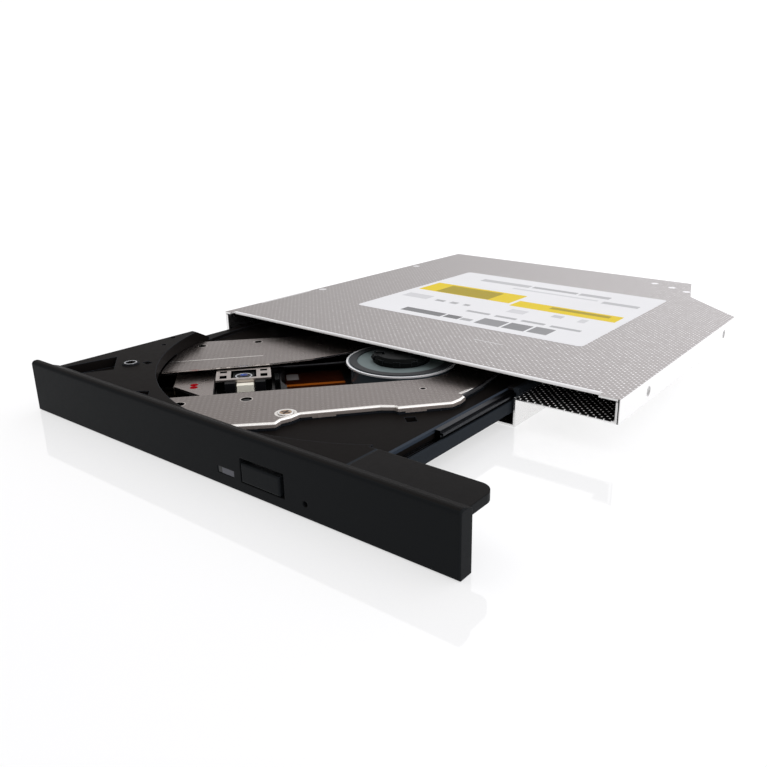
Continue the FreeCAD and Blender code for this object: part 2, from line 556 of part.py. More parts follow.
def deck_plate():
    """Brushed plate in the disc recess with a turned-down front edge and the lens slot."""
    body = make("deck_plate", "tray")
    low = "deck_top - deck_thick"
    edge = [("0.6", "4.0"), ("6.8", "10.2"), ("6.2", "12.4"), ("6.9", "14.6"), ("6.9", "17.1"),
            ("18.2", "30.7"),
            ("20.9", "32.6"), ("22.0", "32.3"), ("30.1", "42.0"), ("30.4", "45.0"), ("30.1", "47.0"),
            ("28.9", "48.0"),
            ("28.6", "56.0"), ("22.5", "94.0")]
    plate = add(body, "XY", f"{low} - deck_lip", "deck_thick + deck_lip",
                disc("spindle_across", "spindle_back", "deck_radius"))
    outer = cut(body, "XY", "floor_top - 1", "deck_top",
                poly(*edge, ("20", "125"), ("80", "125"), ("80", "-20"), ("0.6", "-20")))
    doc.recompute()
    top = plate.Shape.BoundBox.ZMax

    def front_edge(item):
        box = item.BoundBox
        straight = isinstance(item.Curve, Part.Line)
        return straight and abs(box.ZMin - top) < 1e-4 and item.Length > 0.5

    outer = round_edges(body, outer, "deck_bend", front_edge)
    inner = [(f"{x} - deck_wall", f"{y} + deck_wall") for x, y in edge]
    cut(body, "XY", "floor_top - 1", f"{low} - floor_top + 1",
        poly(*inner, ("20", "130"), ("-80", "130"), ("-80", "-20"), ("0.2", "-20")))
    cut(body, "XY", "floor_top - 1", "deck_top", rect("-80", "-80", "80", "-deck_left"), turned=True)
    cut(body, "XY", "floor_top - 1", "deck_top", poly(
        ("0", "-12"), ("11.5", "-10.9"), ("23", "-6.9"), ("33", "-5.2"), ("deck_radius + 5", "-3.8"),
        ("deck_radius + 5", "slot_right"), ("0", "slot_right")), turned=True)
    cut(body, "XY", "floor_top - 1", "deck_top", disc("spindle_across", "spindle_back", "hub_hole"))
    cut(body, "XY", "floor_top - 1", "deck_top", rect("-deck_radius", "-deck_radius", "deck_radius",
                                                      "-tray_front + 0.1"),
        rect("-2 * deck_radius", "-deck_radius", "-tray_left + tray_wall", "2 * deck_radius"))
    holes = [("-50.9", "36.8", "1.0"), ("-41.7", "48.7", "1.0"), ("-9.0", "16.1", "1.2"),
             ("-18.6", "5.1", "1.2"),
             ("19.1", "45.4", "0.6")]
    cut(body, "XY", "floor_top - 1", "deck_top", *[disc(*hole) for hole in holes])
    cut(body, "XY", "floor_top - 1", "deck_top", *[disc(x, y, "thread_radius + 0.1") for x,
                                                   y in DECK_SCREWS])
    cut(body, "XY", "deck_top - deck_thick / 2", "1", *[disc(x, y, "head_radius + 0.1") for x,
                                                        y in DECK_SCREWS])
    screws("deck_screws", "tray", DECK_SCREWS, "deck_top - deck_thick / 2", "2.0")
    return body


def traverse():
    """Steel chassis under the deck with the two guide shafts, the feed screw and its motor."""
    chassis = make("traverse_chassis", "traverse")
    low = "chassis_low"
    top = "chassis_low + chassis_thick"
    add(chassis, "XY", low, "chassis_thick", bay("chassis_gap"))
    ear_arms = [rect("42", "bay_right - 3", "50", "29.5"), rect("48", "-24.2", "56", "-bay_left + 3"),
                rect("-23.2", "-6", "-bay_back + 3", "0")]
    for arm in ear_arms:
        add(chassis, "XY", low, "chassis_thick", arm)
    cut(chassis, "XY", f"{low} - 1", "3", rect("34", "-10", "66", "12"),
        rect("-motor_start - 0.2", "screw_off - motor_radius - 0.1", "-motor_start + motor_length + 0.2",
             "screw_off + motor_radius + 0.1"))
    cut(chassis, "XY", f"{low} - 1", "3", *[disc(x, y, "thread_radius + 0.1") for x, y in EARS])
    posts = []
    for off, start, end in (("shaft_right", "shaft_right_start", "shaft_right_end"),
                            ("-shaft_left", "shaft_left_start", "shaft_left_end")):
        posts.append(rect(start, f"{off} - 1.6", f"{start} + 1.6", f"{off} + 1.6"))
        posts.append(rect(f"{end} - 1.6", f"{off} - 1.6", f"{end}", f"{off} + 1.6"))
    for post in posts:
        add(chassis, "XY", low, "shaft_high - chassis_low + 1.6", post)
    for off, start, end in (("shaft_right", "shaft_right_start", "shaft_right_end"),
                            ("-shaft_left", "shaft_left_start", "shaft_left_end")):
        cut(chassis, "YZ", f"{start} - 1", f"{end} - {start} + 2", disc(off, "shaft_high", "shaft_radius"))
    for label, off, start, end in (("guide_shaft_front", "shaft_right", "shaft_right_start",
                                    "shaft_right_end"),
                                   ("guide_shaft_rear", "-shaft_left", "shaft_left_start",
                                    "shaft_left_end")):
        shaft = make(label, "traverse")
        add(shaft, "YZ", start, f"{end} - {start}", disc(off, "shaft_high", "shaft_radius"))
    ribbon = make("pickup_flex", "traverse")
    add(ribbon, "XY", top, "0.12", rect("14.6", "-14", "33", "0"))
    damper = make("chassis_dampers", "traverse")
    add(damper, "XY", top, "1.8", *[disc(x, y, "2.6") for x, y in EARS])
    cut(damper, "XY", low, "4", *[disc(x, y, "thread_radius + 0.1") for x, y in EARS])
    screws("chassis_screws", "traverse", EARS, "chassis_low", "3.6", down=False)
    motor = make("feed_motor", "traverse")
    add(motor, "YZ", "-motor_start", "motor_length", disc("screw_off", "screw_high", "motor_radius"))
    cut(motor, "YZ", "-motor_start + motor_length - 2", "3",
        disc("screw_off", "screw_high", "screw_radius + running_gap"))
    bracket = make("feed_brackets", "traverse")
    motor_face = "-motor_start + motor_length"
    for start, bore in ((motor_face, "screw_radius + running_gap"),
                        ("screw_end + 0.2", "screw_radius / 2 + running_gap")):
        add(bracket, "XY", top, "screw_high - chassis_low - chassis_thick + 1.4",
            rect(start, "screw_off - 1.4", f"{start} + 0.8", "screw_off + 1.4"))
        cut(bracket, "YZ", f"{start} - 0.1", "1", disc("screw_off", "screw_high", bore))
    feed = make("feed_screw", "traverse")
    start = "-motor_start + motor_length - 1.8"
    add(feed, "YZ", start, f"screw_end - ({start})", disc("screw_off", "screw_high", "screw_radius"))
    add(feed, "YZ", "screw_end - 1", "2.0", disc("screw_off", "screw_high", "screw_radius / 2"))


def spindle():
    """Disc motor: base with bearing sleeve, rotor bell with flange, friction ring and clamping hub."""
    base = make("spindle_base", "traverse")
    floor = "chassis_low + chassis_thick"
    turn(base, ("spindle_shaft + running_gap", floor), ("bell_radius", floor),
         ("bell_radius", f"{floor} + 0.6"),
         ("sleeve_radius", f"{floor} + 0.6"), ("sleeve_radius", "bell_top - 1.2"),
         ("spindle_shaft + running_gap", "bell_top - 1.2"))
    stator = make("stator_coils", "traverse")
    add(stator, "XY", f"{floor} + 0.6", "2.6", disc("0", "0", "5"), disc("0", "0", "sleeve_radius"))
    arm = add(stator, "XY", f"{floor} + 1.0", "1.8", poly(("4.6", "-0.8"), ("10.4", "-0.8"),
                                                          ("10.4", "-2.2"), ("11.7", "-2.2"),
                                                         ("11.7", "2.2"), ("10.4", "2.2"), ("10.4", "0.8"),
                                                         ("4.6", "0.8")))
    ring = stator.newObject("PartDesign::PolarPattern", "poles")
    ring.Originals = [arm]
    ring.Axis = (arm.Profile[0], ["N_Axis"])
    ring.Angle = 360
    ring.Occurrences = 9
    stator.Tip = ring
    rotor = make("spindle_rotor", "traverse")
    turn(rotor, ("0", f"{floor} + 0.1"), ("spindle_shaft", f"{floor} + 0.1"),
         ("spindle_shaft", "bell_top - 0.8"),
         ("bell_radius - 0.7", "bell_top - 0.8"), ("bell_radius - 0.7", "bell_low"),
         ("bell_radius", "bell_low"),
         ("bell_radius", "flange_under"), ("flange_radius", "flange_under"), ("flange_radius", "table_top"),
         ("pad_outer", "table_top"), ("pad_outer", "table_top - 0.3"), ("pad_inner", "table_top - 0.3"),
         ("pad_inner", "table_top - 0.1"), ("0", "table_top - 0.1"))
    pad = make("turntable_pad", "traverse")
    turn(pad, ("pad_inner", "table_top - 0.3"), ("pad_outer", "table_top - 0.3"),
         ("pad_outer", "table_top + pad_thick"),
         ("pad_inner", "table_top + pad_thick"))
    hub = make("clamp_hub", "traverse")
    floor = "table_top - 0.1"
    turn(hub, ("0", floor), ("hub_radius", floor), ("hub_radius", "hub_top - 0.9"),
         ("hub_radius - 0.8", "hub_top"),
         ("2.2", "hub_top"), ("1.8", "hub_top - 0.5"), ("0", "hub_top - 0.5"))
    for k in range(3):
        turned = f"{k} * 120"
        c, s = f"cos({turned})", f"sin({turned})"
        corners = [("4.4", "-1.3"), ("8.5", "-1.3"), ("8.5", "1.3"), ("4.4", "1.3")]
        cut(hub, "XY", "table_top + 0.5", "3",
            poly(*[(f"{a} * {c} - ({b}) * {s}", f"{a} * {s} + ({b}) * {c}") for a, b in corners]))
        claw = make(f"hub_claw_{k + 1}", "traverse")
        claw.setExpression("Placement.Rotation.Angle", bound(f"traverse_turn + {turned}"))
        add(claw, "XZ", "-1.1", "2.2", poly(("5.1", "table_top + 0.55"), ("7.5", "table_top + 0.55"),
                                            ("7.9", "hub_top - 1.1"),
                                           ("7.2", "hub_top - 0.3"), ("5.1", "hub_top - 0.3")))


def pickup():
    """Sled on the two shafts with the lens actuator."""
    sled = make("sled_base", "sled")
    add(sled, "XY", "2.8", "3.4", poly(("-10.3", "-9"), ("16.4", "-9"), ("16.4", "2.2"), ("10.2", "10.4"),
                                       ("-10.3", "10.4")))
    cut(sled, "XY", "4.4", "3", poly(("-8.8", "-7.6"), ("7", "-7.6"), ("7", "8.4"), ("-8.8", "8.4")))
    cut(sled, "XY", "2.7", "4", disc("lens_in - lens_out", "0", "bell_radius + bell_gap"))
    bearings = [("-9", "1.2", "shaft_right", "10.2", "shaft_right + 1.9"),
                ("-4", "8", "-shaft_left", "-shaft_left - 1.9", "-8.8")]
    for start, end, off, low, high in bearings:
        add(sled, "XY", "2.8", "3.7", rect(start, low, end, high))
    for start, end, off, low, high in bearings:
        cut(sled, "YZ", f"{start} - 1", f"{end} - {start} + 2",
            disc(off, "shaft_high", "shaft_radius + running_gap"))
    cover = make("sled_cover", "sled")
    add(cover, "XY", "6.2", "0.4", poly(("7.2", "-8.6"), ("16.6", "-8.6"), ("16.6", "1.8"), ("10.0", "9.6"),
                                        ("7.2", "9.6")))
    add(cover, "XY", "4.6", "1.7", rect("16.4", "-8.6", "16.8", "1.8"))
    frame = make("actuator_frame", "sled")
    add(frame, "XY", "4.4", "0.8", rect("-7.4", "-6.6", "6.8", "6"))
    add(frame, "XY", "5.2", "2.7", rect("-6.7", "-6", "6.7", "3.4"))
    cut(frame, "XY", "5.2", "2.3", rect("-6.2", "-5.5", "6.2", "2.9"))
    windows = [rect(x0, y0, x1, y1) for x0, x1 in (("-5.8", "-3.6"),
                                                   ("3.6", "5.8")) for y0,
                                                   y1 in (("-5.1", "-2.2"), ("-0.9", "2.4"))]
    cut(frame, "XY", "7", "2", *windows)
    cut(frame, "XY", "7", "2", rect("-3.1", "-5.1", "3.1", "2.4"))
    magnets = make("actuator_magnets", "sled")
    add(magnets, "XY", "5.2", "2.4", rect("-5.2", "3.7", "-2.8", "5.4"), rect("2.1", "3.7", "4.5", "5.4"))
    block = make("suspension_block", "sled")
    add(block, "XY", "5.2", "1.8", rect("-2.4", "3.7", "1.7", "5.6"))
    laser = make("laser_unit", "sled")
    add(laser, "XY", "4.4", "2.0", rect("-8.6", "-4", "-7.6", "1"))
    nut = make("feed_nut", "sled")
    add(nut, "XY", "2.8", "3.6", rect("-9", "shaft_right + 1.9", "-5", "screw_off - screw_radius - 0.1"))
    holder = make("lens_holder", "sled")
    add(holder, "XY", "5.6", "1.9", rect("-2.6", "-4.4", "2.6", "1.9"))
    cut(holder, "XY", "6", "4", disc("0", "0", "1.7"))
    lens = make("objective_lens", "sled")
    turn(lens, ("0", "6.0"), ("1.7", "6.0"), ("1.7", "7.4"), ("1.0", "7.8"), ("0", "7.95"))
    return sled


def tray_underside():
    """Thin bottom plate of the tray with its screws, the rear board and the eject plunger."""
    plate = make("tray_bottom_cover", "tray")
    add(plate, "XY", "tray_low - 0.4", "0.4", rect("-tray_left + 2.9", "1", "channel_left - 0.3",
                                                   "tray_back - 1"))
    cut(plate, "XY", "0", "3", *[disc(x, y, "thread_radius + 0.1") for x, y in COVER_SCREWS])
    screws("cover_screws", "tray", COVER_SCREWS, "tray_low - 0.4", "3.4", down=False)
    board = make("tray_board", "tray")
    add(board, "XY", "board_low", "board_thick", rect("-40", "tray_back - 23.9", "11", "tray_back - 7.9"))
    for spot in ("-38", "9"):
        add(board, "XY", "board_low + board_thick", "floor_top - floor_thick - board_low - board_thick",
            disc(spot, "tray_back - 21.9", "1.2"))
    socket = make("tray_flex_socket", "tray")
    add(socket, "XY", "board_low + board_thick", "1.4", rect("-10", "tray_back - 10.9", "10",
                                                             "tray_back - 8.3"))
    plunger = make("eject_plunger", "tray")
    add(plunger, "XZ", "tray_back - 16.9", "23.4", disc("22", "4.0", "1.0"))
    add(plunger, "XZ", "tray_back - 3.9", "0.8", disc("22", "4.0", "1.6"))
    spring = make("eject_spring", "tray")
    add(spring, "XZ", "tray_back - 13.9", "9.9", disc("22", "4.0", "1.5"), disc("22", "4.0", "1.15"))
    carrier = make("plunger_carrier", "tray")
    add(carrier, "XZ", "tray_back - 16.3", "2.2", rect("20.2", "tray_low", "23.8",
                                                       "floor_top - floor_thick"))
    cut(carrier, "XZ", "tray_back - 16.9", "4", disc("22", "4.0", "1.05"))


def rear_electronics():
    """Rear board in the case with its socket, chips and the drive's connector, and the latch pin."""
    top = "board_low + board_thick"
    board = make("main_board", "case")
    add(board, "XY", "board_low", "board_thick",
        rect("-case_wide / 2 + 2 * skin + board_side_gap", "rear_board_front", "18",
             "case_deep - 2 * skin"))
    standoff = ["-case_wide / 2 + 2 * skin + standoff_in", "-20", "15"]
    add(board, "XY", "skin", "board_low - skin",
        *[disc(x, "rear_board_front + 3.4", "standoff_radius") for x in standoff])
    plug = make("sata_connector", "case")
    low = top
    add(plug, "XY", low, "plug_high", rect("plug_across - plug_half", "case_deep - 6.4",
                                           "plug_across + plug_half", "case_deep"))
    cut(plug, "XZ", "case_deep - 5", "6", rect("plug_across - plug_half + 0.8", f"{low} + 0.8",
                                               "plug_across + plug_half - 0.8",
                                              f"{low} + plug_high - 0.8"))
    add(plug, "XY", f"{low} + 2", "1.2", rect("plug_across - plug_half + 1.6", "case_deep - 5.4",
                                              "plug_across + 0.5", "case_deep - 0.8"),
        rect("plug_across + 2", "case_deep - 5.4", "plug_across + plug_half - 1.6", "case_deep - 0.8"))
    socket = make("main_flex_socket", "case")
    add(socket, "XY", top, "1.4", rect("-10", "rear_board_front + 0.4", "10", "rear_board_front + 2.6"))
    chips = make("controller_chips", "case")
    add(chips, "XY", top, "1.0", rect("-case_wide / 2 + 6", "rear_board_front + 1", "-case_wide / 2 + 12",
                                      "case_deep - 2"),
        rect("-22", "rear_board_front + 4", "-17", "case_deep - 1.6"),
        rect("11.4", "rear_board_front + 1", "15", "case_deep - 2"))
    pin = make("latch_pin", "case")
    add(pin, "XY", "skin", "pin_top - skin", disc("pin_across", "pin_back", "pin_radius"))
    flex = make("main_flex", "tray")
    add(flex, "XY", "board_low + board_thick + 0.3", "0.2",
        rect("-9", "tray_back - 8.2", "9", "rear_board_front + tray_out + 0.3"))


top_cover()
bottom_cover()
case_guides()
slide_rails()
tray_frame()
bezel()
button_group()
front_board()
deck_plate()
traverse()
spindle()
pickup()
tray_underside()
rear_electronics()
doc.recompute()

for item in doc.Objects:
    if "Invalid" in item.State or "Error" in item.State:
        raise RuntimeError(f"{item.Label} failed")
for body in bodies:
    if body.Shape.isNull() or not body.Shape.isValid():
        raise RuntimeError(f"{body.Label} has no valid shape")

os.makedirs("parts", exist_ok=True)
for body in bodies:
    body.Shape.exportStep(f"parts/{body.Label}.step")
    print(f"{body.Label}: {len(body.Shape.Solids)} solids, {body.Shape.Volume:.1f} cubic mm")
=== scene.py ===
import math

import bmesh
import bpy
from mathutils import Matrix, Vector


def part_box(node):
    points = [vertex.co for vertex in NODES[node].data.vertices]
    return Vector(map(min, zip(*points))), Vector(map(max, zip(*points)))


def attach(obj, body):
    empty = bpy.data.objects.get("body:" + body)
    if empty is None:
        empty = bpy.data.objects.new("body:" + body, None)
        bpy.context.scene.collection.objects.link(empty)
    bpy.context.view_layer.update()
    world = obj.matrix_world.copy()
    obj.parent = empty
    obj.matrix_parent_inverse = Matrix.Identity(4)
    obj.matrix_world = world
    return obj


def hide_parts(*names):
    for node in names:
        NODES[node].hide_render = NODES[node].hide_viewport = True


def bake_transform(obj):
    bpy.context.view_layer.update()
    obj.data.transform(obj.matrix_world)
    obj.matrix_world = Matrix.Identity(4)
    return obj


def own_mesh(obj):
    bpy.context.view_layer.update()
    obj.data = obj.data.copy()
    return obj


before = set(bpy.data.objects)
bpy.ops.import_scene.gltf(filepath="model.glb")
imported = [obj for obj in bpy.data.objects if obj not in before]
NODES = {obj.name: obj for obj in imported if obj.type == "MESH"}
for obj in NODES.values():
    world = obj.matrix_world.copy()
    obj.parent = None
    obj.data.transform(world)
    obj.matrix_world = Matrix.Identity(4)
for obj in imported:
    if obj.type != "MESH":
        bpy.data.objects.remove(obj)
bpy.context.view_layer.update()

MM = 0.001

# Lengths and places are in millimetres, and colours are linear red, green and blue. X runs to the right, Y to
# the back and Z up from the bottom of the case. The tray stands out of the case.
CASE_FRONT = -63.2
TRAY_OUT = 55.9
TRAY_FRONT = CASE_FRONT - TRAY_OUT
LID_TOP = 12.7
LIP_BACK = CASE_FRONT + 1.76
DECK_FACE = 8.64
SPINDLE = (1.76, 59.12 + TRAY_FRONT)
LENS_TURN = math.radians(229)
LENS_ALONG = 40.3


def in_tray(*rows):
    """Rows that start with a place across and behind the tray's front, moved to the frame."""
    return [(across, back + TRAY_FRONT, *rest) for across, back, *rest in rows]


def deck_place(along, side):
    """Plan position of a point given along and across the lens's path from the spindle."""
    return (SPINDLE[0] + along * math.cos(LENS_TURN) - side * math.sin(LENS_TURN),
            SPINDLE[1] + along * math.sin(LENS_TURN) + side * math.cos(LENS_TURN))


# ------------------------------------------------------------------- shading

class Shader:
    """Nodes of one procedural material, all placed by object coordinates."""

    def __init__(self, name, colour, metal=0.0, rough=0.5, shine=0.5):
        self.material = bpy.data.materials.new(name)
        self.material.use_nodes = True
        self.tree = self.material.node_tree
        self.shade = self.tree.nodes["Principled BSDF"]
        self.set("Base Color", (*colour, 1.0))
        self.set("Metallic", metal)
        self.set("Roughness", rough)
        self.set("Specular IOR Level", shine)
        self.place = self.tree.nodes.new("ShaderNodeTexCoord").outputs["Object"]
        self.axes = None
        self.normal = None

    def set(self, name, value):
        self.shade.inputs[name].default_value = value

    def link(self, value, socket):
        """Puts a constant on a socket, or ties another node's output to it."""
        if isinstance(value, bpy.types.NodeSocket):
            self.tree.links.new(value, socket)
        else:
            socket.default_value = value

    def drive(self, name, value):
        self.link(value, self.shade.inputs[name])

    def axis(self, letter):
        """One object coordinate in millimetres."""
        if self.axes is None:
            split = self.tree.nodes.new("ShaderNodeSeparateXYZ")
            self.link(self.place, split.inputs[0])
            self.axes = {a: self.math("MULTIPLY", split.outputs[a], 1 / MM) for a in "XYZ"}
        return self.axes[letter]

    # Sums

    def math(self, operation, first, second=0.0):
        node = self.tree.nodes.new("ShaderNodeMath")
        node.operation = operation
        self.link(first, node.inputs[0])
        self.link(second, node.inputs[1])
        return node.outputs[0]

    def length(self, across, back):
        """Length of a step across and back."""
        squares = [self.math("MULTIPLY", step, step) for step in (across, back)]
        return self.math("SQRT", self.math("ADD", *squares))

    def span(self, value, low, high):
        """Maps 0..1 to low..high."""
        return self.math("ADD", self.math("MULTIPLY", value, high - low), low)

    def ramp(self, value, start, end):
        """Maps start..end to 0..1, and goes on in a straight line beyond them."""
        return self.math("MULTIPLY", self.math("SUBTRACT", value, start), 1 / (end - start))

    def clamp(self, value):
        return self.math("MAXIMUM", self.math("MINIMUM", value, 1.0), 0.0)

    # Masks, which are 1 inside and 0 outside

    def above(self, value, limit):
        return self.math("GREATER_THAN", value, limit)

    def below(self, value, limit):
        return self.math("LESS_THAN", value, limit)

    def between(self, value, low, high):
        return self.both(self.above(value, low), self.below(value, high))

    def both(self, *masks):
        result = masks[0]
        for mask in masks[1:]:
            result = self.math("MULTIPLY", result, mask)
        return result

    def either(self, *masks):
        result = masks[0]
        for mask in masks[1:]:
            result = self.math("MAXIMUM", result, mask)
        return result

    def invert(self, mask):
        return self.math("SUBTRACT", 1.0, mask)

    def region(self, **ranges):
        """Mask of a box given by its x, y and z ranges, where None leaves an end open."""
        masks = []
        for letter, (low, high) in ranges.items():
            place = self.axis(letter.upper())
            if low is not None:
                masks.append(self.above(place, low))
            if high is not None:
                masks.append(self.below(place, high))
        return self.both(*masks)

    def disc(self, place, radius):
        """Mask of an upright cylinder."""
        return self.below(self.distance(place), radius)

    def line(self, first, last, half):
        """Mask of a straight line of the plan view, given by its ends and half its width."""
        step = (last[0] - first[0], last[1] - first[1])
        ahead, off = self.turned(first, math.atan2(step[1], step[0]))
        return self.both(self.between(ahead, 0, math.hypot(*step)), self.between(off, -half, half))

    # Distances in the plan view

    def distance(self, place):
        """Distance from an upright axis."""
        return self.length(self.math("SUBTRACT", self.axis("X"), place[0]),
                           self.math("SUBTRACT", self.axis("Y"), place[1]))

    def along(self, angle):
        """Distance along a direction."""
        return self.math("ADD", self.math("MULTIPLY", self.axis("X"), math.cos(angle)),
                         self.math("MULTIPLY", self.axis("Y"), math.sin(angle)))

    def turned(self, origin, angle):
        """Distances along and across a direction, measured from an origin."""
        steps = []
        for way in (angle, angle + math.pi / 2):
            start = origin[0] * math.cos(way) + origin[1] * math.sin(way)
            steps.append(self.math("SUBTRACT", self.along(way), start))
        return steps

    def track(self):
        """Distances along and across the lens's path, measured from the spindle."""
        return self.turned(SPINDLE, LENS_TURN)

    # Colours and patterns

    def blend(self, factor, first, second):
        """The first colour where the factor is 0, the second where it is 1."""
        node = self.tree.nodes.new("ShaderNodeMix")
        node.data_type = "RGBA"
        self.link(factor, node.inputs["Factor"])
        for value, socket in ((first, node.inputs["A"]), (second, node.inputs["B"])):
            self.link(value if isinstance(value, bpy.types.NodeSocket) else (*value, 1.0), socket)
        return node.outputs["Result"]

    def noise(self, cells, detail=2.0, stretch=(1, 1, 1), turn=0.0):
        """Noise of about 0 to 1 with a number of cells per metre."""
        move = self.tree.nodes.new("ShaderNodeMapping")
        move.inputs["Scale"].default_value = stretch
        move.inputs["Rotation"].default_value = (0, 0, turn)
        self.link(self.place, move.inputs["Vector"])
        node = self.tree.nodes.new("ShaderNodeTexNoise")
        node.inputs["Scale"].default_value = cells
        node.inputs["Detail"].default_value = detail
        self.link(move.outputs[0], node.inputs["Vector"])
        return node.outputs[0]

    def dots(self, pitch, radius):
        """Height of staggered round dots, 1 in a dot's middle and 0 between them."""
        half = pitch / 2
        beyond = 500  # counted from outside the object, so that every place is positive
        rows = []
        for shift in (0.0, half):
            steps = []
            for letter in "XY":
                place = self.math("ADD", self.axis(letter), beyond + shift)
                steps.append(self.math("SUBTRACT", self.math("PINGPONG", place, half), half))
            rows.append(self.ramp(self.length(*steps), radius, 0.0))
        return self.math("MAXIMUM", self.either(*rows), 0.0)

    def mottle(self, rough, spread, cells):
        """Roughness that wanders a little about its middle value."""
        self.drive("Roughness", self.span(self.noise(cells, detail=3), rough - spread, rough + spread))

    def bump(self, height, strength, depth):
        node = self.tree.nodes.new("ShaderNodeBump")
        node.inputs["Strength"].default_value = strength
        node.inputs["Distance"].default_value = depth * MM
        self.link(height, node.inputs["Height"])
        if self.normal is not None:
            self.link(self.normal, node.inputs["Normal"])
        self.normal = node.outputs[0]
        self.drive("Normal", self.normal)

    def soften(self, radius):
        """Rounds the shading over sharp edges, and gives 1 there and 0 elsewhere."""
        gain = 5.0
        node = self.tree.nodes.new("ShaderNodeBevel")
        node.samples = 4
        node.inputs["Radius"].default_value = radius * MM
        self.normal = node.outputs[0]
        self.drive("Normal", self.normal)
        flat = self.tree.nodes.new("ShaderNodeNewGeometry")
        dot = self.tree.nodes.new("ShaderNodeVectorMath")
        dot.operation = "DOT_PRODUCT"
        self.link(self.normal, dot.inputs[0])
        self.link(flat.outputs["Normal"], dot.inputs[1])
        return self.clamp(self.math("MULTIPLY", self.invert(dot.outputs["Value"]), gain))


def plastic(name, colour, rough, grain=0.05, edge=0.12, shine=0.5, rim=None):
    """Moulded plastic with a fine grain; its sharp edges may carry a painted highlight in the rim colour."""
    made = Shader(name, colour, rough=rough, shine=shine)
    edge_highlight = made.soften(edge)
    # Painted highlight on the sharp edges.
    if rim:
        made.drive("Base Color", made.blend(edge_highlight, colour, rim))
    made.mottle(rough, spread=0.06, cells=900)
    made.bump(made.noise(6000), grain, depth=0.04)
    return made


def steel(name, colour, rough, brush=0.0, turn=0.0):
    """Metal with softened edges, brushed across the direction of a turn."""
    made = Shader(name, colour, metal=1.0, rough=rough)
    made.soften(0.08)
    made.mottle(rough, spread=0.05, cells=400)
    if brush:
        made.bump(made.noise(900, stretch=(0.03, 6, 1), turn=turn), brush, depth=0.03)
    return made


# ----------------------------------------------------------- case and its lid

LID_STEEL = (0.405, 0.375, 0.362)
PAN_AND_LIT_SIDE_STEEL = (0.87, 0.865, 0.86)
DOT_PITCH = 1.62
LID_SPOT_GLINTS = ((-61.5, 29.8), (-61.9, -23.0), (27.1, 55.8), (34.5, 52.6), (40.9, 49.0))
LID_GLINT_RADIUS = 1.3
LID_LINE = ((13.4, -43.2), (22.6, -43.2))
LIP_ENDS = (-61.7, 58.9)


def lid_steel():
    """Lid with raised dots whose painted highlights grow brighter to the right, a painted highlight on the
    front lip in front of a painted shadow in the crease, a painted glint on the left fold, a painted
    highlight on a short pressed line, painted glints on round spots near the edges and a dark seam by the
    wing's mouth. Faces other than the top take the pan's brighter steel colour, painted light."""
    skin = 0.03
    dot_radius, dot_height, dot_highlight_gain = 0.42, 0.42, 1.9
    made = steel("lid_steel", LID_STEEL, 0.34)
    up = made.region(z=(LID_TOP - skin, None))
    # Painted highlight: raised dots on the top turn near white in noisy patches, more so to the right.
    raised = made.above(made.dots(DOT_PITCH, dot_radius), dot_height)
    patches = made.math("POWER", made.noise(900, detail=1), 2.0)
    rightward = made.ramp(made.axis("X"), -110, 15)
    shine = made.math("MULTIPLY", made.both(raised, up, patches, rightward), dot_highlight_gain)
    top = made.blend(made.math("MINIMUM", shine, 1.0), LID_STEEL, (0.98, 0.97, 0.965))

    # Painted shadow in the crease behind the front lip; a painted glint on the left fold; painted highlights
    # on the pressed line and the round spots.
    crease = made.region(x=LIP_ENDS, y=(None, LIP_BACK + 0.95))
    glint = made.region(x=(None, -63.1), y=(-49, -27))
    pressed = made.both(made.line(*LID_LINE, 0.12), up)
    top = made.blend(crease, top, (0.24, 0.20, 0.19))
    top = made.blend(glint, top, (0.80, 0.79, 0.78))
    top = made.blend(pressed, top, (0.95, 0.95, 0.95))
    for place in LID_SPOT_GLINTS:
        top = made.blend(made.both(made.disc(place, LID_GLINT_RADIUS), up), top, (0.88, 0.87, 0.87))

    seam = made.region(x=(63.45, 63.8), y=(None, CASE_FRONT + 0.05))
    # Painted light: faces other than the top take the brighter steel colour; the seam stays dark.
    side = made.blend(seam, PAN_AND_LIT_SIDE_STEEL, (0.02, 0.02, 0.02))
    # Painted highlight: the front lip turns near white and, off the top, not metallic.
    lip = made.region(x=LIP_ENDS, y=(None, LIP_BACK + 0.6))
    made.drive("Base Color", made.blend(lip, made.blend(up, side, top), (0.99, 0.985, 0.98)))
    made.drive("Metallic", made.invert(made.both(lip, made.invert(up))))
    return made


def pan_steel():
    """Bright pan; the shelf of the wing is painted black inside as shade under the lid, with small dots as
    painted highlights.
    """
    shelf_low, shelf_high = 7.2, 12.0
    dot_pitch, dot_radius, dot_height = 1.9, 0.42, 0.45
    made = steel("pan_steel", PAN_AND_LIT_SIDE_STEEL, 0.26)
    shelf = made.region(x=(38.6, 62.2), z=(shelf_low, shelf_high))
    wall = made.region(x=(62.6, 63.45), z=(shelf_low, None))
    # Painted shade and highlights: the shelf is near black, with near-white dots.
    shelf_dot_glints = made.above(made.dots(dot_pitch, dot_radius), dot_height)
    inner = made.blend(shelf_dot_glints, (0.005, 0.005, 0.005), (0.95, 0.95, 0.93))
    made.drive("Base Color", made.blend(shelf, PAN_AND_LIT_SIDE_STEEL, inner))
    made.drive("Metallic", made.invert(made.either(shelf, wall)))
    made.drive("Specular IOR Level", made.span(shelf, 0.5, 0.1))
    return made


